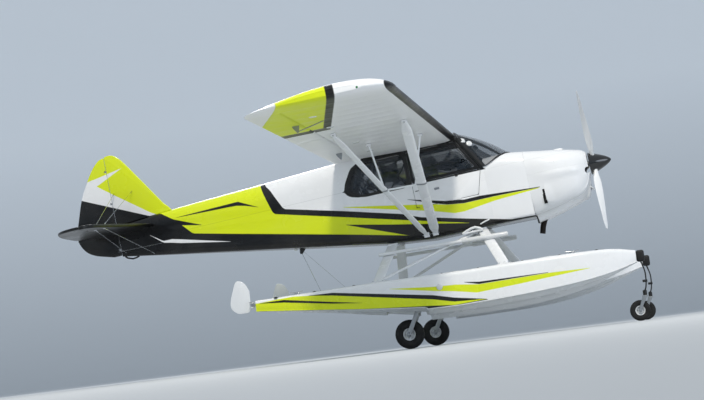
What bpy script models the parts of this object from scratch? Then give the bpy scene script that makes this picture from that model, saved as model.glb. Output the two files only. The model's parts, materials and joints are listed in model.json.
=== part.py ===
"""Tandem two-seat high-wing light aircraft standing on its amphibious floats, wheels down.

Metres, +X forward, +Y left, +Z up, ground at z = 0. The airframe is drawn level in its own
frame, whose origin is on the propeller's axis line, and stands nose up on the floats.
"""
import math

import bmesh
import bpy
from mathutils import Matrix, Vector

for old in list(bpy.data.objects):
    bpy.data.objects.remove(old)

# General clearances
seat_gap = 0.0003
running_gap = 0.006

# Stance: the airframe's own frame above the ground, and the origin under the middle of the length
nose_up = math.radians(4.8)
thrust_height = 1.786
middle_x = 0.0355

# Cabin
cabin_half_width = 0.36
wall = 0.03
cabin_aft_x = 0.04
cabin_front_x = 1.90
wall_top_z = 0.69
belly_corner = 0.06
sill_z = 0.21
door_aft_x = 0.97
door_sill_front_x = 1.86
door_foot_front_x = 1.775
door_head_front_x = 1.62
door_head_z = 0.618
door_foot_z = -0.10
door_thickness = 0.026
door_rail = 0.03
pillar = 0.03
glass = 0.006
glass_bed = 0.0015
hinge_radius = 0.009
hinge_out = 0.010

# Wing
wing_lead_x = 1.635
wing_chord = 1.60
wing_root_y = 0.375
wing_tip_y = 5.22
wing_z = 0.688
wing_thickness = 0.115
wing_camber = 0.03
dihedral = math.radians(1.4)
bay_inner_y = 0.45
bay_split_y = 2.65
bay_outer_y = 4.90
bracket_width = 0.012
control_chord = 0.36

# Lift struts
strut_foot = Vector((1.085, 0.385, -0.468))
front_strut_top_x = 1.386
rear_strut_top_x = 0.55
strut_top_y = 2.90
front_strut_chord = 0.12
rear_strut_chord = 0.08
strut_thickness = 0.035
strut_drop = 0.03
jury_drop = 0.018
jury_share = 0.475
jury_radius = 0.012

# Tail
tail_post_x = -3.08
hinge_x = -3.10
fin_thickness = 0.05
tail_plane_z = 0.47
tail_plane_thickness = 0.045
lug_width = 0.02

# Nose
spinner_tip_x = 3.482
spinner_base_x = 3.205
spinner_radius = 0.146
spinner_wall = 0.006
propeller_radius = 1.015
blade_x = 3.262
blade_root_radius = 0.030
cowl_wall = 0.012
firewall_x = 2.42
shaft_radius = 0.035

# Floats
float_y = 1.12
well_half_width = 0.125
well_aft_x = 0.56
well_front_x = 1.05
well_top_z = 0.70
strut_deck_y = 1.02
belly_fitting_y = 0.29
float_strut_chord = 0.13
float_strut_thickness = 0.035
fitting_height = 0.02
spreader_radius = 0.022
step_radius = 0.022
step_share = 0.68
step_overhang = 0.12

# Wheels
main_wheel = Vector((0.805, float_y, 0.18))
main_pivot = Vector((1.00, float_y, 0.56))
main_half_width = 0.0625
main_axle = 0.016
nose_wheel = Vector((3.62, float_y, 0.125))
nose_half_width = 0.0425
nose_axle = 0.010
caster_x = 3.70
caster_z = 0.30

# Water rudders
water_axis_x = -1.12
water_lug_z = 0.78


def paint(name, colour, roughness, metallic=0.0, alpha=1.0):
    made = bpy.data.materials.new(name)
    made.use_nodes = True
    shader = made.node_tree.nodes["Principled BSDF"]
    shader.inputs["Base Color"].default_value = (*colour, 1.0)
    shader.inputs["Roughness"].default_value = roughness
    shader.inputs["Metallic"].default_value = metallic
    shader.inputs["Alpha"].default_value = alpha
    made.diffuse_color = (*colour, alpha)
    return made


white = paint("white_paint", (0.86, 0.87, 0.87), 0.3)
lime = paint("lime_paint", (0.70, 0.80, 0.02), 0.3)
black = paint("black_paint", (0.02, 0.02, 0.022), 0.35)
clear = paint("clear_glazing", (0.85, 0.90, 0.92), 0.05, 0.0, 0.3)
tyre_rubber = paint("tyre_rubber", (0.02, 0.02, 0.02), 0.85)
cast_metal = paint("cast_metal", (0.45, 0.45, 0.46), 0.4, 1.0)
upholstery = paint("upholstery", (0.10, 0.10, 0.11), 0.9)

aircraft = bpy.data.collections.new("floatplane")
workshop = bpy.data.collections.new("cutters")
bpy.context.scene.collection.children.link(aircraft)
bpy.context.scene.collection.children.link(workshop)

ground = bpy.data.objects.new("ground_frame", None)
ground.location = (-middle_x, 0.0, 0.0)
aircraft.objects.link(ground)
airframe = bpy.data.objects.new("airframe", None)
airframe.parent = ground
airframe.location = (0.0, 0.0, thrust_height)
airframe.rotation_euler = (0.0, -nose_up, 0.0)
aircraft.objects.link(airframe)
to_ground = Matrix.Translation((0.0, 0.0, thrust_height)) @ Matrix.Rotation(-nose_up, 4, "Y")
pivots = {}


def piece(name, mesh, material, parent, pivot=(0.0, 0.0, 0.0)):
    """A finished sub-part, drawn in its frame, with its origin moved to the pivot."""
    pivot = Vector(pivot)
    mesh.transform(Matrix.Translation(-pivot))
    made = bpy.data.objects.new(name, mesh)
    made.parent = parent
    made.location = pivot - pivots.get(parent.name, Vector())
    pivots[name] = pivot
    mesh.materials.clear()
    mesh.materials.append(material)
    mesh.shade_smooth()
    mesh.set_sharp_from_angle(angle=math.radians(35.0))
    aircraft.objects.link(made)
    return made


def drawn(bm):
    bmesh.ops.recalc_face_normals(bm, faces=bm.faces)
    mesh = bpy.data.meshes.new("mesh")
    bm.to_mesh(mesh)
    bm.free()
    return mesh


def evaluated(made):
    """The object's mesh with its modifiers, or its curve turned to a mesh; the object goes."""
    bpy.context.view_layer.update()
    graph = bpy.context.evaluated_depsgraph_get()
    mesh = bpy.data.meshes.new_from_object(made.evaluated_get(graph))
    bpy.data.objects.remove(made)
    return mesh


def box(low, high, bevel=0.0):
    bm = bmesh.new()
    low, high = Vector(low), Vector(high)
    sizes = Matrix.Diagonal((*(high - low), 1.0))
    bmesh.ops.create_cube(bm, size=1.0, matrix=Matrix.Translation((low + high) / 2) @ sizes)
    if bevel:
        bmesh.ops.bevel(bm, geom=bm.edges[:], offset=bevel, segments=2, affect="EDGES", profile=0.5)
    return drawn(bm)


def rod(start, end, width, thickness, sides=10, level=Vector((1.0, 0.0, 0.0))):
    """An oval bar from start to end, its width turned as near to the level direction as can be."""
    start, end = Vector(start), Vector(end)
    along = (end - start).normalized()
    across = (level - along * level.dot(along)).normalized()
    turn = Matrix((across, along.cross(across), along)).transposed().to_4x4()
    bm = bmesh.new()
    bmesh.ops.create_cone(
        bm, cap_ends=True, segments=sides, radius1=0.5, radius2=0.5, depth=(end - start).length
    )
    mesh = drawn(bm)
    mesh.transform(Matrix.Diagonal((width, thickness, 1.0, 1.0)))
    mesh.transform(Matrix.Translation((start + end) / 2) @ turn)
    return mesh


def lofted(rings, closed=True, capped=True):
    """A skin over rings of as many points each, which run from +Y to +Z as seen from ahead."""
    bm = bmesh.new()
    rows = [[bm.verts.new(point) for point in ring] for ring in rings]
    count = len(rows[0]) if closed else len(rows[0]) - 1
    for aft, ahead in zip(rows, rows[1:]):
        for i in range(count):
            j = (i + 1) % len(aft)
            bm.faces.new((aft[i], aft[j], ahead[j], ahead[i]))
    if capped:
        bm.faces.new(list(reversed(rows[0])))
        bm.faces.new(rows[-1])
        return drawn(bm)
    mesh = bpy.data.meshes.new("skin")
    bm.to_mesh(mesh)
    bm.free()
    return mesh


def shell(mesh, thickness):
    made = bpy.data.objects.new("shell", mesh)
    workshop.objects.link(made)
    solidify = made.modifiers.new("wall", "SOLIDIFY")
    solidify.thickness = thickness
    solidify.offset = -1.0
    solidify.use_even_offset = True
    return evaluated(made)


def lathed(profile, centre, steps, axis="Y"):
    """A turned solid: a closed loop of (radius, along the axis) swept round the axis."""
    bm = bmesh.new()
    points = [bm.verts.new((radius, 0.0, along)) for radius, along in profile]
    for a, b in zip(points, points[1:] + points[:1]):
        bm.edges.new((a, b))
    mesh = bpy.data.meshes.new("profile")
    bm.to_mesh(mesh)
    bm.free()
    made = bpy.data.objects.new("turned", mesh)
    workshop.objects.link(made)
    screw = made.modifiers.new("turn", "SCREW")
    screw.steps = steps
    screw.render_steps = steps
    screw.use_merge_vertices = True
    screw.merge_threshold = 0.00001
    turned = bmesh.new()
    turned.from_mesh(evaluated(made))
    bmesh.ops.remove_doubles(turned, verts=turned.verts, dist=0.00001)
    mesh = drawn(turned)
    if axis == "Y":
        mesh.transform(Matrix.Rotation(-math.pi / 2, 4, "X"))
    if axis == "X":
        mesh.transform(Matrix.Rotation(math.pi / 2, 4, "Y"))
    mesh.transform(Matrix.Translation(centre))
    return mesh


def rounded(outline, radius, steps=3):
    """The outline's corners as short arcs of about the radius."""
    made = []
    count = len(outline)
    for i, corner in enumerate(outline):
        here = Vector(corner)
        back = Vector(outline[i - 1]) - here
        on = Vector(outline[(i + 1) % count]) - here
        reach = min(radius, back.length * 0.45, on.length * 0.45)
        start = here + back.normalized() * reach
        end = here + on.normalized() * reach
        for step in range(steps + 1):
            t = step / steps
            made.append(start * (1 - t) ** 2 + here * 2 * t * (1 - t) + end * t**2)
    return made


def plate(outline, thickness, middle=0.0, plane="XZ", edge=0.0):
    """A flat piece of that outline, in the XZ plane about y = middle, or XY about z = middle."""
    curve = bpy.data.curves.new("outline", "CURVE")
    curve.dimensions = "2D"
    curve.fill_mode = "BOTH"
    curve.extrude = thickness / 2
    spline = curve.splines.new("POLY")
    spline.points.add(len(outline) - 1)
    for point, (u, v) in zip(spline.points, outline):
        point.co = (u, v, 0.0, 1.0)
    spline.use_cyclic_u = True
    made = bpy.data.objects.new("outline", curve)
    workshop.objects.link(made)
    bm = bmesh.new()
    bm.from_mesh(evaluated(made))
    bmesh.ops.remove_doubles(bm, verts=bm.verts, dist=0.00001)
    bmesh.ops.recalc_face_normals(bm, faces=bm.faces)
    if edge:
        rims = [e for e in bm.edges if e.calc_face_angle(0.0) > 1.0 and abs(e.verts[0].co.z - e.verts[1].co.z) < 1e-6]
        bmesh.ops.bevel(bm, geom=rims, offset=edge, segments=2, affect="EDGES", profile=0.5)
    mesh = drawn(bm)
    if plane == "XZ":
        mesh.transform(Matrix.Rotation(math.pi / 2, 4, "X"))
        mesh.transform(Matrix.Translation((0.0, middle, 0.0)))
    else:
        mesh.transform(Matrix.Translation((0.0, 0.0, middle)))
    return mesh


def combined(mesh, others, operation):
    target = bpy.data.objects.new("target", mesh)
    workshop.objects.link(target)
    tools = []
    for other in others:
        tool = bpy.data.objects.new("tool", other)
        tool.hide_render = True
        tool.display_type = "WIRE"
        workshop.objects.link(tool)
        tools.append(tool)
        boolean = target.modifiers.new("boolean", "BOOLEAN")
        boolean.object = tool
        boolean.operation = operation
        boolean.solver = "EXACT"
    result = evaluated(target)
    for tool in tools:
        bpy.data.objects.remove(tool)
    return result


def cut(mesh, *others):
    return combined(mesh, others, "DIFFERENCE")


def joined(mesh, *others):
    return combined(mesh, others, "UNION")


def clipped(mesh, low, high):
    """The part of the mesh inside that box."""
    return combined(mesh, (box(low, high),), "INTERSECT")


def lengthened(rings, by=0.03):
    """The rings, with the first and last repeated a little further out for clipping."""
    back = [(x - by, y, z) for x, y, z in rings[0]]
    ahead = [(x + by, y, z) for x, y, z in rings[-1]]
    return [back] + rings + [ahead]


def mirrored(mesh):
    copy = mesh.copy()
    copy.transform(Matrix.Diagonal((1.0, -1.0, 1.0, 1.0)))
    copy.flip_normals()
    return copy


def both_sides(mesh):
    """The left piece's mesh and its mirror image, with their names' endings and signs."""
    return (("left", 1.0, mesh), ("right", -1.0, mirrored(mesh)))


def across(point, sign):
    return Vector((point[0], point[1] * sign, point[2]))


def between(table, x, column):
    """A column of a table sorted by its first column, read at x on straight lines."""
    for low, high in zip(table, table[1:]):
        if x <= high[0]:
            break
    share = (x - low[0]) / (high[0] - low[0])
    return low[column] + (high[column] - low[column]) * share


# Fuselage

# Columns: x, half width, bottom z, shoulder z, crown z, squareness of the crown
rear_sections = (
    (tail_post_x, 0.020, 0.150, 0.500, 0.560, 2.2),
    (-2.30, 0.112, 0.013, 0.455, 0.618, 2.2),
    (-2.00, 0.148, -0.038, 0.430, 0.634, 2.2),
    (-1.00, 0.255, -0.208, 0.360, 0.678, 2.4),
    (cabin_aft_x - seat_gap, cabin_half_width, -0.385, 0.300, 0.712, 4.5),
)

# Columns: x, bottom z
cabin_sections = ((cabin_aft_x, -0.385), (0.55, -0.470), (1.06, -0.522), (cabin_front_x, -0.520))

# Columns: x, half width, bottom z, shoulder z, crown z, squareness of the crown
boot_sections = (
    (cabin_front_x + seat_gap, cabin_half_width, -0.520, 0.150, 0.352, 3.0),
    (2.16, 0.357, -0.525, 0.135, 0.366, 3.0),
    (firewall_x - seat_gap, 0.347, -0.530, 0.060, 0.333, 2.8),
)


def hull_ring(x, half_width, bottom, shoulder, crown, square, steps=5):
    """A ring from the belly's middle up the left side, over the crown and down the right."""
    corner = min(belly_corner, half_width * 0.5)
    left = [(half_width - corner, bottom), (half_width - corner * 0.3, bottom + corner * 0.3)]
    left.append((half_width, bottom + corner))
    for step in range(steps):
        angle = math.pi / 2 * step / steps
        y = half_width * math.cos(angle) ** (2 / square)
        z = shoulder + (crown - shoulder) * math.sin(angle) ** (2 / square)
        left.append((y, z))
    half = [(x, y, z) for y, z in left]
    return [(x, 0.0, bottom)] + half + [(x, 0.0, crown)] + [(x, -y, z) for x, y, z in reversed(half)]


def boot_height(x, y):
    """The height of the boot cowl's top at that place."""
    half_width, shoulder, crown, square = (between(boot_sections, x, c) for c in (1, 3, 4, 5))
    share = min(abs(y) / half_width, 1.0)
    return shoulder + (crown - shoulder) * (1 - share**square) ** (1 / square)


def foil(share, side):
    """Height of the wing's skin over its chord line, as a share of the chord; side is +1 above."""
    peak = 0.4
    if share < peak:
        camber = wing_camber / peak**2 * (2 * peak * share - share**2)
    else:
        camber = wing_camber / (1 - peak) ** 2 * (1 - 2 * peak + 2 * peak * share - share**2)
    half = 5 * wing_thickness * (
        0.2969 * math.sqrt(share) - 0.1260 * share - 0.3516 * share**2
        + 0.2843 * share**3 - 0.1015 * share**4
    )
    return camber + side * half


def wing_skin(x, side):
    return wing_z + wing_chord * foil((wing_lead_x - x) / wing_chord, side)


def door_line(z):
    """The door's front edge: forward along the boot at the foot, raked back beside the windscreen."""
    if z < sill_z:
        share = (z - door_foot_z) / (sill_z - door_foot_z)
        return door_foot_front_x + (door_sill_front_x - door_foot_front_x) * share
    share = (z - sill_z) / (door_head_z - sill_z)
    return door_sill_front_x + (door_head_front_x - door_sill_front_x) * share


def prism(outline, y_low, y_high):
    return plate(outline, y_high - y_low, (y_low + y_high) / 2)


def grown(outline, by):
    """An outline of straight edges, each moved outwards."""
    count = len(outline)
    area = sum(
        outline[i][0] * outline[(i + 1) % count][1] - outline[(i + 1) % count][0] * outline[i][1]
        for i in range(count)
    )
    way = 1.0 if area > 0 else -1.0
    lines = []
    for i in range(count):
        start, end = Vector(outline[i]), Vector(outline[(i + 1) % count])
        along = (end - start).normalized()
        normal = Vector((along.y, -along.x)) * way
        lines.append((start + normal * by, along))
    made = []
    for i in range(count):
        (p, a), (q, b) = lines[i - 1], lines[i]
        reach = ((q - p).x * b.y - (q - p).y * b.x) / (a.x * b.y - a.y * b.x)
        made.append(p + a * reach)
    return made


upper_door = ((door_aft_x, sill_z + running_gap), (door_line(sill_z), sill_z + running_gap),
              (door_head_front_x, door_head_z), (door_aft_x, door_head_z))
lower_door = ((door_aft_x, door_foot_z), (door_foot_front_x, door_foot_z),
              (door_line(sill_z), sill_z), (door_aft_x, sill_z))
door_opening = grown(
    ((door_aft_x, door_foot_z), (door_foot_front_x, door_foot_z), (door_line(sill_z), sill_z + 0.003),
     (door_head_front_x, door_head_z), (door_aft_x, door_head_z)), running_gap)
front_window = ((door_aft_x + 0.03, sill_z + 0.03), (door_line(sill_z) - 0.05, sill_z + 0.03),
                (door_head_front_x - 0.02, door_head_z), (door_aft_x + 0.03, door_head_z))
rear_window = ((0.13, 0.30), (0.30, sill_z), (0.92, sill_z), (0.92, 0.625), (0.45, 0.625), (0.25, 0.54))
hinge_y = cabin_half_width + hinge_out
knuckles = ((1.06, 1.12), (1.44, 1.50))
knuckle_width = 0.05


def knuckle(x_low, x_high, axis_z, leaf_low, leaf_high):
    """A hinge knuckle on the right side, with the leaf that holds it."""
    barrel = rod((x_low, -hinge_y, axis_z), (x_high, -hinge_y, axis_z), hinge_radius * 2,
                 hinge_radius * 2, 10, Vector((0.0, 0.0, 1.0)))
    leaf = box((x_low, -hinge_y, leaf_low), (x_high, -cabin_half_width + 0.004, leaf_high))
    return barrel, leaf


upper_axis_z = door_head_z + running_gap / 2 + 0.001
lower_axis_z = door_foot_z - running_gap / 2 - 0.001


def cabin():
    rings = []
    for x, bottom in cabin_sections:
        corner = belly_corner
        half = [(cabin_half_width - corner, bottom),
                (cabin_half_width - corner * 0.3, bottom + corner * 0.3),
                (cabin_half_width, bottom + corner), (cabin_half_width, wall_top_z)]
        left = [(x, y, z) for y, z in half]
        rings.append([(x, -y, z) for x, y, z in reversed(left)] + [(x, 0.0, bottom)] + left)
    mesh = shell(lofted(lengthened(rings), closed=False, capped=False), wall)
    mesh = clipped(mesh, (cabin_aft_x, -1.0, -1.0), (cabin_front_x, 1.0, wall_top_z))
    reach = cabin_half_width + 0.05
    inside = cabin_half_width - 0.06
    rake = ((door_line(sill_z) + pillar, sill_z + 0.015),
            (door_line(sill_z) + 0.5, sill_z + 0.015), (door_line(sill_z) + 0.5, wall_top_z + 0.1),
            (door_line(wall_top_z + 0.1) + pillar, wall_top_z + 0.1))
    mesh = cut(mesh, prism(rake, -reach, reach), prism(door_opening, -reach, -inside),
               prism(rounded(front_window, 0.05), inside, reach),
               prism(rounded(rear_window, 0.08), -reach, reach))
    leaves = []
    for low, high in knuckles:
        for start in (low - knuckle_width - seat_gap, high + seat_gap):
            leaves += knuckle(start, start + knuckle_width, upper_axis_z, upper_axis_z, upper_axis_z + 0.022)
            leaves += knuckle(start, start + knuckle_width, lower_axis_z, lower_axis_z - 0.022, lower_axis_z)
    return joined(mesh, *leaves)


piece("cabin_shell", cabin(), white, airframe)

skin = 0.018
hollow_aft_x = -1.95


def rear_hollow_ring(x, read_x):
    half_width, bottom, shoulder, crown, square = (between(rear_sections, read_x, c) for c in range(1, 6))
    return hull_ring(x, half_width - skin, bottom + skin, shoulder, crown - skin, square)


rear_mesh = lofted([hull_ring(*section) for section in rear_sections])
rear_mesh = cut(rear_mesh, lofted([
    rear_hollow_ring(hollow_aft_x, hollow_aft_x), rear_hollow_ring(-1.00, -1.00),
    rear_hollow_ring(cabin_aft_x + 0.05, cabin_aft_x)]))
rudder_lugs = (0.24, 0.50)
for lug_z in rudder_lugs:
    rear_mesh = joined(rear_mesh, box((hinge_x, -0.008, lug_z), (tail_post_x + 0.02, 0.008, lug_z + lug_width)),
                       rod((hinge_x, 0.0, lug_z), (hinge_x, 0.0, lug_z + lug_width), 0.016, 0.016, 10))
piece("rear_fuselage", rear_mesh, lime, airframe)
boot_rings = [hull_ring(*section) for section in boot_sections]
boot_mesh = clipped(shell(lofted(lengthened(boot_rings), capped=False), cowl_wall),
                    (boot_sections[0][0], -1.0, -1.0), (boot_sections[-1][0], 1.0, 1.0))
firewall_rings = []
for x in (firewall_x - 0.012, firewall_x - 0.001):
    half_width, bottom, shoulder, crown, square = (between(boot_sections, x, c) for c in range(1, 6))
    inset = cowl_wall / 2
    firewall_rings.append(hull_ring(x, half_width - inset, bottom + inset, shoulder, crown - inset, square))
boot_mesh = joined(boot_mesh, lofted(firewall_rings))
piece("boot_cowl", boot_mesh, white, airframe)

panel_x = cabin_front_x + 0.03
panel_depth = 0.02
panel_low = -0.02
panel_gap = 0.0009


def inside_boot_ring(x):
    half_width, bottom, shoulder, crown, square = (between(boot_sections, x, c) for c in range(1, 6))
    inset = cowl_wall + panel_gap
    return hull_ring(x, half_width - inset, bottom + inset, shoulder, crown - inset, square)


panel_mesh = lofted([inside_boot_ring(panel_x), inside_boot_ring(panel_x + panel_depth)])
panel_mesh = clipped(panel_mesh, (panel_x - 1.0, -1.0, panel_low), (panel_x + 1.0, 1.0, 1.0))
piece("instrument_panel", panel_mesh, black, airframe)

engine_low = Vector((2.50, -0.25, -0.24))
engine_high = Vector((2.98, 0.25, 0.08))
mount_tubes = [rod((firewall_x - 0.001 + seat_gap, y * 1.15, z * 1.1), (engine_low.x + 0.02, y, z), 0.03, 0.03, 8,
                   Vector((0.0, 1.0, 0.0))) for y in (-0.2, 0.2) for z in (-0.18, 0.04)]
shaft = rod((engine_high.x - 0.02, 0.0, 0.0), (spinner_base_x - seat_gap, 0.0, 0.0), shaft_radius * 2,
            shaft_radius * 2, 16, Vector((0.0, 1.0, 0.0)))
engine = joined(box(engine_low, engine_high), shaft, *mount_tubes)
engine = clipped(engine, (firewall_x - 0.001 + seat_gap, -1.0, -1.0), (4.0, 1.0, 1.0))
piece("engine_block", engine, cast_metal, airframe)

# Cowl. Columns: x, half width, split z, crown z, squareness
upper_cowl_sections = (
    (firewall_x, 0.347, 0.0, 0.333, 2.8),
    (2.65, 0.372, 0.0, 0.292, 2.6),
    (2.85, 0.365, 0.0, 0.259, 2.4),
    (3.05, 0.290, 0.0, 0.215, 2.2),
    (3.14, 0.215, 0.0, 0.188, 2.0),
    (3.185, 0.154, 0.0, 0.154, 2.0),
)
# Columns: x, half width, body bottom z, scoop half width, scoop bottom z
lower_cowl_sections = (
    (firewall_x, 0.347, -0.515, 0.17, -0.611),
    (2.65, 0.372, -0.480, 0.165, -0.560),
    (2.85, 0.365, -0.430, 0.155, -0.505),
    (3.05, 0.290, -0.360, 0.140, -0.440),
    (3.14, 0.215, -0.260, 0.120, -0.385),
    (3.185, 0.154, -0.120, 0.080, -0.170),
)


def upper_cowl_ring(x, half_width, split, crown, square, steps=6):
    ring = []
    for step in range(-steps, steps + 1):
        angle = math.pi / 2 * (1 - abs(step) / steps)
        y = half_width * math.cos(angle) ** (2 / square) if abs(step) < steps else half_width
        z = split + (crown - split) * math.sin(angle) ** (2 / square) if abs(step) < steps else split
        ring.append((x, -math.copysign(y, step) if step else 0.0, z))
    return [(x, half_width, split - 0.03)] + ring + [(x, -half_width, split - 0.03)]


def lower_cowl_ring(x, half_width, bottom, scoop, scoop_bottom):
    side = [(half_width, 0.03), (half_width, 0.0), (half_width * 0.99, bottom * 0.45),
            (half_width * 0.86, bottom * 0.86), (scoop + 0.03, bottom),
            (scoop, bottom * 0.4 + scoop_bottom * 0.6), (scoop * 0.75, scoop_bottom)]
    return ([(x, -y, z) for y, z in side] + [(x, 0.0, scoop_bottom)]
            + [(x, y, z) for y, z in reversed(side)])


cowl_front_x = upper_cowl_sections[-1][0]
upper_cowl = shell(lofted(lengthened([upper_cowl_ring(*s) for s in upper_cowl_sections]), False, False), cowl_wall)
upper_cowl = clipped(upper_cowl, (firewall_x, -1.0, seat_gap / 2), (cowl_front_x, 1.0, 1.0))
lower_cowl = shell(lofted(lengthened([lower_cowl_ring(*s) for s in lower_cowl_sections]), False, False), cowl_wall)
lower_cowl = clipped(lower_cowl, (firewall_x, -1.0, -1.0), (cowl_front_x, 1.0, -seat_gap / 2))
piece("cowl_upper", upper_cowl, white, airframe)
piece("cowl_lower", lower_cowl, white, airframe)

# Windscreen: a sheet between a curve under the wing's leading edge and the boot cowl's top
roof_front_x = 1.60


def roof_height(x, y):
    side = max(wing_skin(x, 1.0), wall_top_z + 0.014)
    return side + 0.02 * (1 - (y / cabin_half_width) ** 2)


def windscreen():
    steps, rows = 6, 3
    grid = []
    for row in range(rows + 1):
        up = row / rows
        line = []
        for i in range(-steps, steps + 1):
            t = i / steps
            turn = math.sin(math.pi / 2 * t)
            foot_x = 1.908 + 0.335 * math.cos(math.pi / 2 * t)
            foot_y = (cabin_half_width - 0.008) * turn
            foot = Vector((foot_x, foot_y, boot_height(foot_x, foot_y) - 0.02))
            head_y = (cabin_half_width - 0.004) * turn
            rise = (1 - abs(turn) ** 4)
            head = Vector((roof_front_x + 0.012 + 0.045 * (1 - rise), head_y,
                           0.655 + (roof_height(roof_front_x, 0.0) - 0.655) * rise))
            point = foot.lerp(head, up)
            bulge = 0.05 * math.sin(math.pi * up)
            point += Vector((bulge * math.cos(math.pi / 2 * t), 0.0, bulge * math.cos(math.pi / 2 * t)))
            line.append(tuple(point))
        grid.append(line)
    boot = lofted(lengthened([hull_ring(x, half + glass_bed, low, shoulder, crown + glass_bed, square)
                              for x, half, low, shoulder, crown, square in boot_sections], 0.02))
    return cut(shell(lofted(grid, closed=False, capped=False), glass), boot)


piece("windscreen", windscreen(), clear, airframe)


def skylight():
    rings = []
    for x in (cabin_aft_x, 0.35, 0.75, 1.15, 1.45, roof_front_x):
        low = wall_top_z - 0.01
        ring = [(x, y, roof_height(x, y)) for y in (0.36, 0.24, 0.12, 0.0, -0.12, -0.24, -0.36)]
        rings.append([(x, cabin_half_width, low)] + ring + [(x, -cabin_half_width, low)])
    mesh = shell(lofted(lengthened(rings), closed=False, capped=False), 0.012)
    return clipped(mesh, (cabin_aft_x, -1.0, wall_top_z + seat_gap), (roof_front_x, 1.0, 1.0))


piece("skylight", skylight(), clear, airframe)

pane_y = cabin_half_width - wall / 2
for name, outline, radius, y in (
    ("rear_window_right", rear_window, 0.08, -pane_y),
    ("rear_window_left", rear_window, 0.08, pane_y),
    ("front_window_left", front_window, 0.05, pane_y),
):
    piece(name, plate(rounded(grown(outline, -0.0006), radius), glass, y), clear, airframe)

# Doors on the right side
door_y = -cabin_half_width + door_thickness / 2
door_pane = grown(upper_door, -door_rail)


def upper_door_mesh():
    mesh = plate(rounded(upper_door, 0.02), door_thickness, door_y)
    mesh = cut(mesh, plate(rounded(door_pane, 0.04), 0.2, door_y))
    leaves = []
    for low, high in knuckles:
        leaves += knuckle(low, high, upper_axis_z, upper_axis_z - 0.028, upper_axis_z)
    return joined(mesh, *leaves)


def lower_door_mesh():
    mesh = plate(rounded(lower_door, 0.02), door_thickness, door_y)
    leaves = []
    for low, high in knuckles:
        leaves += knuckle(low, high, lower_axis_z, lower_axis_z, lower_axis_z + 0.028)
    return joined(mesh, *leaves)


upper_pivot = (door_aft_x, -hinge_y, upper_axis_z)
lower_pivot = (door_aft_x, -hinge_y, lower_axis_z)
piece("door_upper", upper_door_mesh(), black, airframe, upper_pivot)
piece("door_glass", plate(rounded(grown(door_pane, -0.0006), 0.04), glass, door_y), clear, airframe, upper_pivot)
piece("door_lower", lower_door_mesh(), black, airframe, lower_pivot)

# Seats: a cushion, a raked back and the box that carries them on the floor
def floor_z(x):
    return between(cabin_sections, x, 1) + wall * 1.02


for name, x in (("seat_front", 1.20), ("seat_rear", 0.36)):
    outline = ((x + 0.05, floor_z(x + 0.05)), (x + 0.42, floor_z(x + 0.42)), (x + 0.46, -0.20), (x + 0.44, -0.13),
               (x + 0.08, -0.16), (x - 0.06, 0.34), (x - 0.12, 0.34), (x + 0.0, -0.2))
    piece(name, plate(outline, 0.42, 0.0), upholstery, airframe)

# Wings, drawn level and then turned up by the dihedral about the root
hinge_share = 1 - (control_chord - 0.03) / wing_chord
hinge_wing_x = wing_lead_x - wing_chord * hinge_share
hinge_wing_z = (wing_skin(hinge_wing_x, 1.0) + wing_skin(hinge_wing_x, -1.0)) / 2
nose_radius = (wing_skin(hinge_wing_x, 1.0) - wing_skin(hinge_wing_x, -1.0)) / 2
root = Vector((0.0, wing_root_y, wing_z))
lift = Matrix.Translation(root) @ Matrix.Rotation(dihedral, 4, "X") @ Matrix.Translation(-root)
foil_steps = 9
# Columns: y, chord share, nose set back as a share of the chord, thickness share
tip_sections = (
    (wing_root_y, 1.0, 0.0, 1.0),
    (wing_tip_y - 0.26, 1.0, 0.0, 1.0),
    (wing_tip_y - 0.12, 0.95, 0.03, 0.92),
    (wing_tip_y - 0.04, 0.84, 0.09, 0.70),
    (wing_tip_y, 0.68, 0.17, 0.35),
)


def wing_ring(y, chord_share, back, thickness):
    shares = [(1 - math.cos(math.pi * i / foil_steps)) / 2 for i in range(foil_steps + 1)]
    ring = []
    for side, run in ((1.0, reversed(shares)), (-1.0, shares[1:])):
        for share in run:
            x = wing_lead_x - wing_chord * (back + chord_share * share)
            z = wing_z + wing_chord * (foil(share, side) * thickness + (1 - thickness) * 0.012)
            ring.append((x, y, z))
    return ring


def wing():
    mesh = lofted([wing_ring(*section) for section in tip_sections])
    bay_x = hinge_wing_x + nose_radius + running_gap
    bays = [box((-0.2, bay_inner_y, 0.4), (bay_x, bay_split_y - bracket_width / 2, 1.0)),
            box((-0.2, bay_split_y + bracket_width / 2, 0.4), (bay_x, bay_outer_y, 1.0)),
            box((-0.2, bay_split_y - 0.1, 0.4), (hinge_wing_x - 0.03, bay_split_y + 0.1, 1.0))]
    mesh = cut(mesh, *bays)
    mesh.transform(lift)
    return mesh


def control(y_low, y_high):
    """A flap or aileron: a round nose on the hinge line, the wing's skins and a thin tail."""
    shares = (hinge_share, hinge_share + 0.09, 1.0)
    profile = [(wing_lead_x - wing_chord * s, wing_skin(wing_lead_x - wing_chord * s, 1.0)) for s in reversed(shares)]
    for step in range(1, 6):
        angle = math.pi / 2 - math.pi * step / 6
        profile.append((hinge_wing_x + nose_radius * math.cos(angle), hinge_wing_z + nose_radius * math.sin(angle)))
    profile += [(wing_lead_x - wing_chord * s, wing_skin(wing_lead_x - wing_chord * s, -1.0)) for s in shares]
    low, high = y_low + running_gap, y_high - running_gap
    mesh = lofted([[(x, y, z) for x, z in profile] for y in (low, high)])
    pin = rod((hinge_wing_x, y_low + seat_gap, hinge_wing_z), (hinge_wing_x, y_high - seat_gap, hinge_wing_z),
              0.016, 0.016, 10)
    mesh = joined(mesh, pin)
    mesh.transform(lift)
    return mesh


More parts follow.
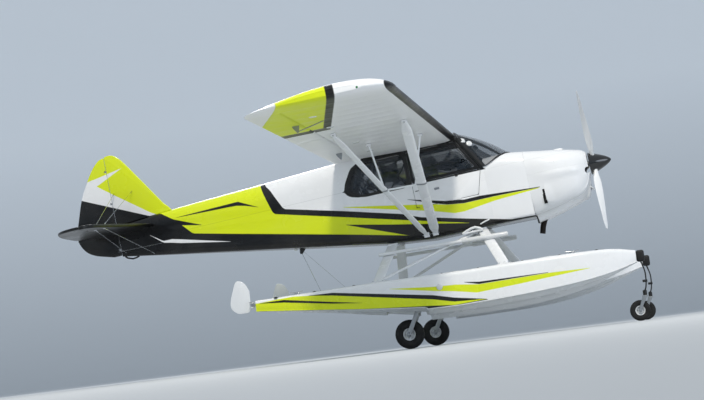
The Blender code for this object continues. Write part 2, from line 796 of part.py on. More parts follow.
flap_ends = (bay_inner_y, bay_split_y - bracket_width / 2)
aileron_ends = (bay_split_y + bracket_width / 2, bay_outer_y)
for ending, sign, mesh in both_sides(wing()):
    piece("wing_" + ending, mesh, white, airframe)
for base, ends in (("flap_", flap_ends), ("aileron_", aileron_ends)):
    hinge = lift @ Vector((hinge_wing_x, sum(ends) / 2, hinge_wing_z))
    for ending, sign, mesh in both_sides(control(*ends)):
        piece(base + ending, mesh, white, airframe, across(hinge, sign))


def under_wing(x, y):
    """The point of the wing's underside at that place, less the seat gap."""
    spot = lift @ Vector((x, y, wing_skin(x, -1.0)))
    return Vector((x, y, spot.z - seat_gap))


front_top = under_wing(front_strut_top_x, strut_top_y) - Vector((0.0, 0.0, strut_drop))
rear_top = under_wing(rear_strut_top_x, strut_top_y) - Vector((0.0, 0.0, strut_drop))
front_foot = strut_foot + Vector((0.055, 0.0, 0.0))
rear_foot = strut_foot - Vector((0.06, 0.0, 0.0))


def wing_pad(spot):
    """The flat fitting that a strut carries under the wing."""
    top = min(under_wing(spot.x + dx, spot.y + dy).z for dx in (-0.03, 0.03) for dy in (-0.02, 0.02))
    return box((spot.x - 0.03, spot.y - 0.02, spot.z - 0.01), (spot.x + 0.03, spot.y + 0.02, top))


def foot_pad(spot):
    return box((spot.x - 0.035, cabin_half_width + seat_gap, spot.z - 0.03), (spot.x + 0.035, spot.y + 0.02, spot.z + 0.03))


front_strut = joined(rod(front_foot, front_top, front_strut_chord, strut_thickness), wing_pad(front_top), foot_pad(front_foot))
jury_front = front_foot.lerp(front_top, jury_share)
jury_rear = rear_foot.lerp(rear_top, jury_share)
up_front = under_wing(jury_front.x + 0.10, jury_front.y) - Vector((0.0, 0.0, jury_drop))
up_rear = under_wing(jury_rear.x - 0.08, jury_rear.y) - Vector((0.0, 0.0, jury_drop))
inner_front = jury_front - Vector((front_strut_chord / 2 + jury_radius + 0.003, 0.0, 0.0))
round_way = Vector((1.0, 0.0, 0.0))
jury = [rod(jury_rear, up_rear, jury_radius * 2, jury_radius * 2, 8), wing_pad(up_rear),
        rod(jury_rear, inner_front, jury_radius * 2, jury_radius * 2, 8, Vector((0.0, 0.0, 1.0))),
        rod(inner_front, up_front, jury_radius * 2, jury_radius * 2, 8), wing_pad(up_front)]
rear_strut = joined(rod(rear_foot, rear_top, rear_strut_chord, strut_thickness), wing_pad(rear_top), foot_pad(rear_foot), *jury)
for base, mesh in (("lift_strut_front_", front_strut), ("lift_strut_rear_", rear_strut)):
    for ending, sign, side_mesh in both_sides(mesh):
        piece(base + ending, side_mesh, white, airframe)

# Tail. Outlines are x and z for the upright surfaces, x and y for the level ones
fin_base_front = (-2.29, between(rear_sections, -2.29, 4) + seat_gap)
fin_outline = (
    (tail_post_x, between(rear_sections, tail_post_x, 4) + seat_gap), (tail_post_x, 1.505), (-3.02, 1.515),
    (-2.95, 1.500), (-2.86, 1.42), (-2.40, 0.74), (-2.34, 0.675), fin_base_front, (-2.30, between(rear_sections, -2.30, 4) + seat_gap))
fin_mesh = plate(fin_outline, fin_thickness, 0.0)
fin_lugs = (0.86, 1.30)
for lug_z in fin_lugs:
    fin_mesh = joined(fin_mesh, box((hinge_x, -0.008, lug_z), (tail_post_x + 0.02, 0.008, lug_z + lug_width)),
                      rod((hinge_x, 0.0, lug_z), (hinge_x, 0.0, lug_z + lug_width), 0.016, 0.016, 10))
piece("fin", fin_mesh, lime, airframe)

rudder_front_x = hinge_x + 0.010
rudder_outline = (
    (rudder_front_x, 0.165), (rudder_front_x, 1.500), (-3.17, 1.475), (-3.27, 1.38), (-3.37, 1.235), (-3.49, 1.02), (-3.585, 0.755),
    (-3.645, 0.560), (-3.635, 0.430), (-3.56, 0.31), (-3.44, 0.235), (-3.20, 0.165))
rudder_mesh = plate(rudder_outline, 0.042, 0.0)
for lug_z in rudder_lugs + fin_lugs:
    rudder_mesh = cut(rudder_mesh, box((hinge_x - 0.016, -0.1, lug_z - running_gap),
                                       (hinge_x + 0.1, 0.1, lug_z + lug_width + seat_gap)))
piece("rudder", rudder_mesh, lime, airframe, (hinge_x, 0.0, 0.5))


def tail_side(x):
    """Half width of the fuselage where the tailplane meets it."""
    return between(rear_sections, x, 1) + seat_gap


stabilizer_outline = [(x, tail_side(x)) for x in (-2.58, -2.80, tail_post_x)]
stabilizer_outline += [(tail_post_x, 1.60), (-3.02, 1.585), (-2.93, 1.46), (-2.80, 0.95), (-2.60, 0.16)]
elevator_front_x = hinge_x + 0.008
elevator_lugs = (0.30, 1.20)
stabilizer_mesh = plate(stabilizer_outline, tail_plane_thickness, tail_plane_z, "XY")
elevator_outline = ((elevator_front_x, 0.075), (elevator_front_x, 1.60), (-3.19, 1.595), (-3.34, 1.52), (-3.45, 1.35),
                    (-3.53, 1.0), (-3.565, 0.50), (-3.56, 0.36), (-3.50, 0.29), (hinge_x - 0.03, 0.085))
elevator_mesh = plate(elevator_outline, 0.036, tail_plane_z, "XY")
for lug_y in elevator_lugs:
    stabilizer_mesh = joined(
        stabilizer_mesh,
        box((hinge_x, lug_y, tail_plane_z - 0.008), (tail_post_x + 0.02, lug_y + lug_width, tail_plane_z + 0.008)),
        rod((hinge_x, lug_y, tail_plane_z), (hinge_x, lug_y + lug_width, tail_plane_z), 0.016, 0.016, 10))
    elevator_mesh = cut(elevator_mesh, box((hinge_x - 0.016, lug_y - seat_gap, tail_plane_z - 0.1),
                                           (hinge_x + 0.1, lug_y + lug_width + running_gap, tail_plane_z + 0.1)))
for ending, sign, mesh in both_sides(stabilizer_mesh):
    piece("stabilizer_" + ending, mesh, black, airframe)
for ending, sign, mesh in both_sides(elevator_mesh):
    piece("elevator_" + ending, mesh, black, airframe, (hinge_x, 0.0, tail_plane_z))

# Propeller and spinner, on the engine's shaft
hub_centre = Vector((blade_x, 0.0, 0.0))


def spinner():
    outer, inner = [], []
    steps = 5
    for step in range(steps + 1):
        share = step / steps
        x = spinner_tip_x - (spinner_tip_x - spinner_base_x) * share
        radius = spinner_radius * share**0.62
        outer.append((radius, x))
        inner.append((max(radius - spinner_wall * 1.6, 0.0), max(x - spinner_wall * 2.2, spinner_base_x + spinner_wall)))
    mesh = lathed(outer + [(0.0, spinner_base_x)], (0.0, 0.0, 0.0), 20, "X")
    hollow = lathed([(0.0, inner[2][1])] + inner[2:] + [(0.0, spinner_base_x + spinner_wall)], (0.0, 0.0, 0.0), 16, "X")
    mesh = cut(mesh, hollow)
    holes = []
    for angle in blade_angles:
        way = Vector((0.0, math.cos(angle), math.sin(angle)))
        holes.append(rod(hub_centre + way * 0.04, hub_centre + way * 0.25, blade_root_radius * 2 + 0.006,
                         blade_root_radius * 2 + 0.006, 12))
    return cut(mesh, *holes)


blade_angles = [math.radians(a) for a in (0.0, 120.0, 240.0)]
# Columns: radius, chord, thickness, twist from the disc in degrees
blade_sections = (
    (0.17, 0.062, 0.050, 60.0),
    (0.26, 0.105, 0.030, 50.0),
    (0.50, 0.140, 0.018, 34.0),
    (0.80, 0.120, 0.013, 23.0),
    (0.98, 0.080, 0.008, 18.0),
    (propeller_radius, 0.035, 0.006, 17.0),
)


def blade_ring(radius, chord, thickness, twist, sides=10):
    turn = math.radians(twist)
    ring = []
    for i in range(sides):
        angle = 2 * math.pi * i / sides
        u, v = chord / 2 * math.cos(angle), thickness / 2 * math.sin(angle)
        ring.append((blade_x + u * math.sin(turn) + v * math.cos(turn), radius,
                     u * math.cos(turn) - v * math.sin(turn)))
    return ring


def propeller():
    hub = rod((spinner_base_x + spinner_wall + seat_gap, 0.0, 0.0), (blade_x + 0.035, 0.0, 0.0), 0.12, 0.12, 16,
              Vector((0.0, 1.0, 0.0)))
    blades = []
    for angle in blade_angles:
        turn = Matrix.Rotation(angle, 4, "X")
        blade = joined(lofted([blade_ring(*section) for section in blade_sections]),
                       rod((blade_x, 0.02, 0.0), (blade_x, 0.19, 0.0), blade_root_radius * 2 - 0.004, blade_root_radius * 2 - 0.004, 12))
        blade.transform(turn)
        blades.append(blade)
    return joined(hub, *blades)


piece("spinner", spinner(), black, airframe, hub_centre)
piece("propeller_blades", propeller(), white, airframe, hub_centre)

# Floats. Columns: x, half deck, deck z, half beam at the chine, chine z, keel z
float_sections = (
    (-1.070, 0.070, 0.829, 0.075, 0.700, 0.690),
    (-0.100, 0.190, 0.846, 0.215, 0.600, 0.555),
    (0.500, 0.255, 0.858, 0.290, 0.530, 0.452),
    (1.098, 0.290, 0.862, 0.335, 0.478, 0.385),
    (1.104, 0.290, 0.862, 0.340, 0.455, 0.322),
    (1.500, 0.295, 0.865, 0.340, 0.455, 0.325),
    (2.500, 0.280, 0.895, 0.325, 0.510, 0.372),
    (3.100, 0.225, 0.905, 0.265, 0.575, 0.490),
    (3.400, 0.160, 0.895, 0.190, 0.635, 0.600),
    (3.655, 0.080, 0.848, 0.085, 0.712, 0.700),
)


def float_ring(x, deck, deck_z, chine, chine_z, keel_z):
    edge = min(0.05, deck * 0.5)
    half = [(chine, chine_z), (deck + (chine - deck) * 0.2, deck_z - edge * 1.1), (deck - edge * 0.3, deck_z - edge * 0.3), (deck - edge, deck_z)]
    return ([(x, 0.0, keel_z)] + [(x, y, z) for y, z in half] + [(x, 0.0, deck_z)]
            + [(x, -y, z) for y, z in reversed(half)])


def deck_top(x, reach):
    return max(between(float_sections, x + dx, 2) for dx in (-reach, 0.0, reach)) + seat_gap


water_lug_radius = 0.02
float_mesh = lofted([float_ring(*section) for section in float_sections])
float_mesh = cut(float_mesh, box((well_aft_x, -well_half_width, 0.1), (well_front_x, well_half_width, well_top_z)))
float_mesh = joined(
    float_mesh,
    box((water_axis_x, -water_lug_radius, water_lug_z - 0.02), (-1.05, water_lug_radius, water_lug_z + 0.02)),
    rod((water_axis_x, 0.0, water_lug_z - 0.02), (water_axis_x, 0.0, water_lug_z + 0.02), 0.04, 0.04, 16))
float_mesh.transform(Matrix.Translation((0.0, float_y, 0.0)))
for ending, sign, mesh in both_sides(float_mesh):
    piece("float_" + ending, mesh, white, ground)

# Float struts: the foot's x on the deck, the head's x under the belly in the airframe's frame
front_foot_x, front_head_x = 2.057, 1.720
rear_foot_x, rear_head_x = 0.470, 0.560
pad_x, pad_y = 0.08, 0.035
head_pad = 0.06
pad_cover = 0.003
brace_drop = 0.022
brace_inset = 0.012


def deck_pad(x):
    top = deck_top(x, pad_x)
    return box((x - pad_x, strut_deck_y - pad_y, top), (x + pad_x, strut_deck_y + pad_y, top + fitting_height))


def belly_z(x):
    return min(between(cabin_sections, x + dx, 1) for dx in (-head_pad, 0.0, head_pad)) - seat_gap


def belly_pad(x):
    top = belly_z(x)
    pad = box((x - head_pad, belly_fitting_y - 0.03, top - fitting_height), (x + head_pad, belly_fitting_y + 0.03, top))
    pad.transform(to_ground)
    return pad


def frame_legs(foot_x, head_x):
    """The left strut's ends in the ground frame."""
    foot = Vector((foot_x, strut_deck_y, deck_top(foot_x, pad_x) + fitting_height / 2))
    head = to_ground @ Vector((head_x, belly_fitting_y, belly_z(head_x) - fitting_height / 2))
    return foot, head


def strut_frame(foot_x, head_x, extras=()):
    foot, head = frame_legs(foot_x, head_x)
    above = box((head_x - 0.5, -1.0, belly_z(head_x) - pad_cover), (head_x + 0.5, 1.0, 1.0))
    above.transform(to_ground)
    below = box((foot_x - 0.5, 0.0, 0.0), (foot_x + 0.5, 2.0, deck_top(foot_x, pad_x) + pad_cover))
    leg = cut(rod(foot, head, float_strut_chord, float_strut_thickness), above, below)
    one = joined(leg, deck_pad(foot_x), belly_pad(head_x), *extras)
    bar_z = foot.z + fitting_height / 2 + 0.004
    bar = rod((foot_x, -strut_deck_y, bar_z), (foot_x, strut_deck_y, bar_z), spreader_radius * 2, spreader_radius * 2, 12)
    return joined(one, bar, mirrored(one))


rear_foot, rear_head = frame_legs(rear_foot_x, rear_head_x)
brace_x = front_head_x - head_pad - seat_gap
brace_z = belly_z(front_head_x) - fitting_height / 2
brace_lug = box((brace_x - 0.05, belly_fitting_y - 0.02, brace_z - brace_drop - 0.015),
                (brace_x, belly_fitting_y + 0.02, brace_z + 0.006))
brace_lug.transform(to_ground)
brace_end = to_ground @ Vector((brace_x - 0.025, belly_fitting_y - brace_inset / 2, brace_z - brace_drop))
brace = rod(rear_foot + Vector((0.03, -brace_inset, 0.014)), brace_end, 0.05, 0.03, 10)
piece("float_struts_front", strut_frame(front_foot_x, front_head_x), white, ground)
piece("float_struts_rear", strut_frame(rear_foot_x, rear_head_x, (brace, brace_lug)), white, ground)


def step_centre(foot_x, head_x):
    foot, head = frame_legs(foot_x, head_x)
    spot = foot.lerp(head, step_share)
    along = (head - foot).normalized()
    chord_way = (round_way - along * along.x).normalized()
    out = along.cross(chord_way)
    return spot + out * (float_strut_thickness / 2 + step_radius + seat_gap)


step_aft, step_front = step_centre(rear_foot_x, rear_head_x), step_centre(front_foot_x, front_head_x)
step_way = (step_front - step_aft).normalized()
step_mesh = rod(step_aft - step_way * step_overhang, step_front + step_way * step_overhang,
                step_radius * 2, step_radius * 2, 12, Vector((0.0, 0.0, 1.0)))
for ending, sign, mesh in both_sides(step_mesh):
    piece("boarding_step_" + ending, mesh, white, ground)


def tyre_profile(radius, half_width, bead):
    deep = radius - bead
    side = [(bead, half_width * 0.72), (bead + deep * 0.4, half_width), (bead + deep * 0.8, half_width * 0.86),
            (radius - deep * 0.03, half_width * 0.5)]
    return [(r, -y) for r, y in side] + [(radius, 0.0)] + [(r, y) for r, y in reversed(side)]


def rim_profile(rim, half_width, bore):
    hub, web = bore + (rim - bore) * 0.28, bore + (rim - bore) * 0.74
    side = [(bore, half_width * 0.78), (hub, half_width * 0.78), (web, half_width * 0.2), (rim, half_width * 0.70)]
    return [(r, -y) for r, y in side] + [(r, y) for r, y in reversed(side)]


# Wheels. Columns: name, centre, tyre radius, half width, rim radius, axle radius
main_rim, nose_rim = 0.072, 0.055
wheels = (("main", main_wheel, main_wheel.z, main_half_width, main_rim, main_axle, 24),
          ("nose", nose_wheel, nose_wheel.z, nose_half_width, nose_rim, nose_axle, 20))
fork_parents = {}


def main_leg():
    side_y = main_half_width + 0.008 + 0.006
    plates = []
    for way in (-1.0, 1.0):
        shift = Vector((0.0, way * side_y, 0.0))
        plates.append(rod(main_pivot + shift, main_wheel + shift - Vector((0.01, 0.0, 0.02)), 0.06, 0.012, 8))
    reach = Vector((0.0, well_half_width - seat_gap, 0.0))
    axle = Vector((0.0, side_y + 0.006, 0.0))
    pivot_tube = rod(main_pivot - reach, main_pivot + reach, 0.04, 0.04, 12)
    axle_bar = rod(main_wheel - axle, main_wheel + axle, main_axle * 2, main_axle * 2, 16)
    return joined(pivot_tube, plates[0], plates[1], axle_bar)


for ending, sign, mesh in both_sides(main_leg()):
    fork_parents["main_" + ending] = piece("main_leg_" + ending, mesh, cast_metal, ground)

leaf_front = ((3.700, 0.74), (3.738, 0.60), (3.742, 0.50), (3.730, 0.40), (3.705, 0.335),
              (3.690, 0.345), (3.715, 0.405), (3.726, 0.50), (3.722, 0.60), (3.680, 0.74))


def nose_leg():
    bumper = box((3.655 + seat_gap, -0.055, 0.705), (3.750, 0.055, 0.845), 0.015)
    head = rod((caster_x, 0.0, caster_z), (caster_x, 0.0, caster_z + 0.06), 0.05, 0.05, 14)
    leg = joined(bumper, plate(leaf_front, 0.05, 0.0), head)
    leg.transform(Matrix.Translation((0.0, float_y, 0.0)))
    return leg


def nose_fork():
    blade_y = nose_half_width + 0.006 + 0.004
    crown = box((3.662, -blade_y - 0.004, caster_z - 0.016), (3.732, blade_y + 0.004, caster_z - seat_gap))
    blades = []
    for way in (-1.0, 1.0):
        blades.append(rod((3.695, way * blade_y, caster_z - 0.008), (nose_wheel.x - 0.005, way * blade_y, nose_wheel.z - 0.008),
                          0.045, 0.008, 8))
    axle = rod((nose_wheel.x, -blade_y - 0.004, nose_wheel.z), (nose_wheel.x, blade_y + 0.004, nose_wheel.z),
               nose_axle * 2, nose_axle * 2, 14)
    fork = joined(crown, blades[0], blades[1], axle)
    fork.transform(Matrix.Translation((0.0, float_y, 0.0)))
    return fork


for ending, sign, mesh in both_sides(nose_leg()):
    piece("nose_leg_" + ending, mesh, black, ground)
for ending, sign, mesh in both_sides(nose_fork()):
    pivot = (caster_x, float_y * sign, caster_z)
    fork_parents["nose_" + ending] = piece("nose_fork_" + ending, mesh, cast_metal, ground, pivot)
for name, centre, radius, half_width, rim, axle, steps in wheels:
    tyre = lathed(tyre_profile(radius, half_width, rim + seat_gap), centre, steps)
    disc = lathed(rim_profile(rim, half_width, axle + 0.0005), centre, steps)
    for ending, sign, mesh in both_sides(tyre):
        piece(f"{name}_tyre_{ending}", mesh, tyre_rubber, fork_parents[f"{name}_{ending}"], across(centre, sign))
    for ending, sign, mesh in both_sides(disc):
        piece(f"{name}_rim_{ending}", mesh, white, fork_parents[f"{name}_{ending}"], across(centre, sign))

# Water rudders, raised behind the sterns, turning on the stern lugs
blade_outline = ((-1.1475, 0.735), (-1.1475, 0.96), (-1.19, 1.05), (-1.25, 1.095), (-1.31, 1.09), (-1.36, 0.98), (-1.40, 0.86),
                 (-1.40, 0.77), (-1.33, 0.70), (-1.23, 0.69), (-1.17, 0.70))
water_rudder = joined(
    plate(blade_outline, 0.012, 0.0),
    box((-1.160, -0.018, water_lug_z + 0.02 + seat_gap), (water_axis_x + 0.012, 0.018, water_lug_z + 0.035)),
    box((-1.160, -0.018, water_lug_z - 0.035), (water_axis_x + 0.012, 0.018, water_lug_z - 0.02 - seat_gap)))
water_rudder.transform(Matrix.Translation((0.0, float_y, 0.0)))
for ending, sign, mesh in both_sides(water_rudder):
    piece("water_rudder_" + ending, mesh, white, ground, (water_axis_x, float_y * sign, water_lug_z))

bpy.data.collections.remove(workshop)
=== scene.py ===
import json
import math

import bmesh
import bpy
from mathutils import Matrix, Vector

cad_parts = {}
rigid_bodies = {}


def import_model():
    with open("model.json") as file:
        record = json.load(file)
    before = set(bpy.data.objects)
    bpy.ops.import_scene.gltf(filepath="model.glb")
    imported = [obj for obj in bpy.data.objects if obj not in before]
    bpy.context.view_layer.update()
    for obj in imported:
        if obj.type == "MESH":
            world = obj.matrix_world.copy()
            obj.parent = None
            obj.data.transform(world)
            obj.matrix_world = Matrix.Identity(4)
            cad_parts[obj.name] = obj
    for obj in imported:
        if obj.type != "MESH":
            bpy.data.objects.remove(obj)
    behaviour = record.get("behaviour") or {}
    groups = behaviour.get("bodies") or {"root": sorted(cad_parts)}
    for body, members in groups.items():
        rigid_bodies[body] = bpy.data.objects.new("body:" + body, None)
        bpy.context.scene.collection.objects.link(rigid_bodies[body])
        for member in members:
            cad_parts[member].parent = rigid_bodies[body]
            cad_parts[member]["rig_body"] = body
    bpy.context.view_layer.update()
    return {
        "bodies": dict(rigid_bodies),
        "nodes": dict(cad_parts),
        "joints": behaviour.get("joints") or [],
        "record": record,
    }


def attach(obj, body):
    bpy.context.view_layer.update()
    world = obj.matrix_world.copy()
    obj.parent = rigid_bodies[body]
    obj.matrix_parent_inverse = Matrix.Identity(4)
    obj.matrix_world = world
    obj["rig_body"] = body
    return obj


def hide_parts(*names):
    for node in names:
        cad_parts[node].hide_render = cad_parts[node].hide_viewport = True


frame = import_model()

nodes = frame["nodes"]
joints = {joint["name"]: joint for joint in frame["joints"]}

# The airframe stands nose up on its floats. Its own frame has x along the propeller shaft.
forward = Vector(joints["propeller_spin"]["axis"]).normalized()
ahead, sideways, upward = Vector((1.0, 0.0, 0.0)), Vector((0.0, 1.0, 0.0)), Vector((0.0, 0.0, 1.0))
atOrigin = (0.0, 0.0, 0.0)
bladeX = 3.262
airOrigin = Vector(joints["propeller_spin"]["pos_m"]) - forward * bladeX
airToWorld = Matrix((forward, sideways, forward.cross(sideways))).transposed().to_4x4()
airToWorld.translation = airOrigin
noseUp = math.asin(forward.z)
groundX = 0.0355  # the floats are drawn this far ahead of their place


def soloSelect(piece):
    if bpy.context.mode != "OBJECT":
        bpy.ops.object.mode_set(mode="OBJECT")
    bpy.ops.object.select_all(action="DESELECT")
    piece.select_set(True)
    bpy.context.view_layer.objects.active = piece


def editAll(piece):
    soloSelect(piece)
    bpy.ops.object.mode_set(mode="EDIT")
    bpy.ops.mesh.select_all(action="SELECT")


def leaveEdit():
    bpy.ops.object.mode_set(mode="OBJECT")


def applyAll(piece):
    soloSelect(piece)
    for modifier in list(piece.modifiers):
        bpy.ops.object.modifier_apply(modifier=modifier.name)


def facedOut(piece, merged=False):
    # Seams closed where asked, and every face turned outwards
    editAll(piece)
    if merged:
        bpy.ops.mesh.remove_doubles(threshold=0.00002)
    bpy.ops.mesh.normals_make_consistent(inside=False)
    leaveEdit()
    return piece


def gridSkin(name, rows, closed=True, capped=True):
    # A grid whose points are moved onto the rows, then closed round and at its ends
    rows = [list(row) + ([row[0]] if closed else []) for row in rows]
    bpy.ops.object.select_all(action="DESELECT")
    bpy.ops.mesh.primitive_grid_add(x_subdivisions=len(rows[0]) - 1, y_subdivisions=len(rows) - 1)
    skin = bpy.context.object
    skin.name = name
    points = [point for row in rows for point in row]
    for vertex, point in zip(skin.data.vertices, points):
        vertex.co = point
    editAll(skin)
    bpy.ops.mesh.remove_doubles(threshold=0.00002)
    if capped:
        bpy.ops.mesh.fill_holes(sides=0)
        bpy.ops.mesh.normals_make_consistent(inside=False)
    leaveEdit()
    return skin


def boxPiece(name, low, high, bevel=0.004, segments=2):
    low, high = Vector(low), Vector(high)
    bpy.ops.object.select_all(action="DESELECT")
    bpy.ops.mesh.primitive_cube_add(size=1.0)
    box = bpy.context.object
    box.name = name
    for vertex in box.data.vertices:
        vertex.co = (low + high) / 2 + Vector([a * b for a, b in zip(vertex.co, high - low)])
    if bevel:
        editAll(box)
        bpy.ops.mesh.bevel(offset=bevel, segments=segments, affect="EDGES")
        leaveEdit()
    return box


def ringAround(centre, along, sideWay, width, thickness, sides, sharp=0.0):
    # A ring of points round a bar: oval, and drawn out to a thin tail where sharp is above 0
    along = along.normalized()
    acrossWay = (sideWay - along * sideWay.dot(along)).normalized()
    upWay = along.cross(acrossWay)
    ring = []
    for step in range(sides):
        angle = 2 * math.pi * step / sides
        u = math.cos(angle)
        v = math.sin(angle) * (1 - sharp * (0.5 - 0.5 * u))
        ring.append(centre + acrossWay * u * width / 2 + upWay * v * thickness / 2)
    return ring


def tube(name, points, radius, sides=12, level=None, capped=True):
    # A round bar along points, with a ring at each that starts on the side of level
    points = [Vector(point) for point in points]
    rows = []
    for i, point in enumerate(points):
        along = points[min(i + 1, len(points) - 1)] - points[max(i - 1, 0)]
        start = level or (upward if abs(along.normalized().z) < 0.9 else ahead)
        rows.append(ringAround(point, along, start, radius * 2, radius * 2, sides))
    return gridSkin(name, rows, capped=capped)


def turned(name, profile, centre, steps, axis="Y"):
    # A lathed shape: (radius, along) pairs round the axis
    rows = []
    for radius, along in profile:
        row = []
        for step in range(steps):
            angle = 2 * math.pi * step / steps
            a, b = radius * math.cos(angle), radius * math.sin(angle)
            spot = {"X": (along, a, b), "Y": (a, along, b), "Z": (a, b, along)}[axis]
            row.append(Vector(centre) + Vector(spot))
        rows.append(row)
    return gridSkin(name, rows, capped=False)


def ringClosed(name, profile, centre, steps, axis="Y"):
    # A lathed ring whose profile is a closed loop
    piece = turned(name, list(profile) + [profile[0]], centre, steps, axis)
    return facedOut(piece, True)


def outlinePlate(name, outline, low, high, plane="XZ", bevel=0.0):
    # A flat piece of an outline between two depths
    bpy.ops.object.select_all(action="DESELECT")
    bpy.ops.mesh.primitive_circle_add(vertices=len(outline), fill_type="NGON")
    plate = bpy.context.object
    plate.name = name
    for vertex, (u, v) in zip(plate.data.vertices, outline):
        vertex.co = (u, low, v) if plane == "XZ" else (u, v, low)
    editAll(plate)
    depth = (0.0, high - low, 0.0) if plane == "XZ" else (0.0, 0.0, high - low)
    bpy.ops.mesh.extrude_region_move(TRANSFORM_OT_translate={"value": depth})
    bpy.ops.mesh.select_all(action="SELECT")
    bpy.ops.mesh.normals_make_consistent(inside=False)
    leaveEdit()
    if bevel:
        softened(plate, bevel, 50)
    return plate


def softened(piece, width, angle=30, segments=2):
    bevel = piece.modifiers.new("softEdge", "BEVEL")
    bevel.width = width
    bevel.segments = segments
    bevel.limit_method = "ANGLE"
    bevel.angle_limit = math.radians(angle)
    applyAll(piece)
    return piece


def walled(piece, thickness, even=True):
    wall = piece.modifiers.new("wall", "SOLIDIFY")
    wall.thickness = thickness
    wall.offset = -1.0
    wall.use_even_offset = even
    applyAll(piece)
    return piece


def cutBy(piece, *cutters, tangled=False):
    for cutter in cutters:
        hole = piece.modifiers.new("hole", "BOOLEAN")
        hole.object = cutter
        hole.operation = "DIFFERENCE"
        hole.solver = "EXACT"
        hole.use_self = tangled
        applyAll(piece)
        bpy.data.objects.remove(cutter)
    return piece


def placed(piece, matrix=airToWorld):
    piece.data.transform(matrix)
    piece.data.update()
    return piece


def mirrorCopy(piece, name):
    other = piece.copy()
    other.data = piece.data.copy()
    other.name = name
    bpy.context.collection.objects.link(other)
    other.data.transform(Matrix.Diagonal((1.0, -1.0, 1.0, 1.0)))
    other.data.flip_normals()
    return other


def joinPieces(first, *others):
    soloSelect(first)
    for other in others:
        other.select_set(True)
    bpy.ops.object.join()
    return bpy.context.object


def cadCopy(node, name, bevel=0.003):
    # The CAD solid's own shape, merged, with its hard edges softened
    copy = nodes[node].copy()
    copy.data = nodes[node].data.copy()
    for key in list(copy.keys()):
        del copy[key]
    copy.parent = None
    copy.name = name
    bpy.context.collection.objects.link(copy)
    editAll(copy)
    bpy.ops.mesh.remove_doubles(threshold=0.00005)
    bpy.ops.mesh.dissolve_limited(angle_limit=math.radians(0.8))
    leaveEdit()
    return softened(copy, bevel)


def finished(piece, body, material, replaced=(), smooth=35):
    piece.data.materials.clear()
    piece.data.materials.append(material)
    soloSelect(piece)
    bpy.ops.object.shade_smooth_by_angle(angle=math.radians(smooth))
    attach(piece, body)
    if replaced:
        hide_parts(*([replaced] if isinstance(replaced, str) else replaced))
    return piece


def dressed(node, material, bevel=0.003):
    # The CAD solid's shape with softened edges and its real finish
    body = nodes[node]["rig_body"]
    return finished(cadCopy(node, node + "Skin", bevel), body, material, node)


def fitted(parts, material, replaced=(), body="airframe", name="", frame=airToWorld):
    # Parts joined if there are several, named, moved from their drawing's frame to their place, and finished
    piece = joinPieces(*parts) if isinstance(parts, list) else parts
    piece.name = name or piece.name
    return finished(placed(piece, frame), body, material, replaced)


def both(parts, name, material, replaced="", smooth=35, body="airframe", frame=airToWorld):
    # The left piece and its mirror image. Names and bodies end in L or R, l or r.
    piece = placed(joinPieces(*parts) if isinstance(parts, list) else parts, frame)
    other = mirrorCopy(piece, name + "R")
    piece.name = name + "L"
    for ending, node, made in (("_l", "_left", piece), ("_r", "_right", other)):
        own = body if body == "airframe" else body + ending
        finished(made, own, material, replaced + node if replaced else (), smooth)


# Camera: at floor level ahead of the right wing, rolled as the photograph is
view = {"azimuth": 10.33, "roll": 7.0, "distance": 24.0, "eye": 0.05, "aim": (0.05, 0.0, 2.01),
        "fieldWidth": 9.17, "sensor": 36.0, "farthest": 900.0}


def addCamera():
    aim = Vector(view["aim"])
    turn = math.radians(view["azimuth"])
    drop = aim.z - view["eye"]
    flat = math.sqrt(view["distance"] ** 2 - drop ** 2)
    eye = aim + Vector((math.sin(turn) * flat, -math.cos(turn) * flat, -drop))
    look = (aim - eye).normalized()
    level = look.cross(upward).normalized()
    rise = level.cross(look)
    roll = math.radians(view["roll"])
    right = level * math.cos(roll) - rise * math.sin(roll)
    top = level * math.sin(roll) + rise * math.cos(roll)
    data = bpy.data.cameras.new("camera")
    data.sensor_width = view["sensor"]
    data.lens = view["sensor"] * view["distance"] / view["fieldWidth"]
    data.clip_end = view["farthest"]
    camera = bpy.data.objects.new("camera", data)
    bpy.context.scene.collection.objects.link(camera)
    camera.matrix_world = Matrix.Translation(eye) @ Matrix((right, top, -look)).transposed().to_4x4()
    bpy.context.scene.camera = camera


addCamera()
print("camera stands at floor level")


def hexColour(code, alpha=1.0):
    parts = [int(code[i:i + 2], 16) / 255 for i in (1, 3, 5)]
    linear = [c / 12.92 if c <= 0.04045 else ((c + 0.055) / 1.055) ** 2.4 for c in parts]
    return (*linear, alpha)


def addNode(tree, kind, inputs=None, **settings):
    node = tree.nodes.new("ShaderNode" + kind)
    for name, value in settings.items():
        setattr(node, name, value)
    for key, value in (inputs or {}).items():
        if isinstance(value, bpy.types.NodeSocket):
            tree.links.new(value, node.inputs[key])
        else:
            node.inputs[key].default_value = value
    return node


def newMaterial(name):
    material = bpy.data.materials.new(name)
    material.use_nodes = True
    shader = material.node_tree.nodes["Principled BSDF"]
    return material, material.node_tree, shader


def objectPoint(tree, scale=1.0):
    coordinates = addNode(tree, "TexCoord").outputs["Object"]
    return addNode(tree, "Mapping", {"Vector": coordinates, "Scale": (scale, scale, scale)}).outputs["Vector"]


def roughnessPatches(tree, low, high, patch=0.35):
    # Slow changes of gloss, as hands, polish and weather leave them. patch is in metres.
    noise = addNode(tree, "TexNoise", {"Vector": objectPoint(tree), "Scale": 1 / patch, "Detail": 4.0,
                                       "Roughness": 0.55})
    return addNode(tree, "MapRange", {"Value": noise.outputs["Fac"], "From Min": 0.3, "From Max": 0.7,
                                      "To Min": low, "To Max": high}).outputs["Result"]


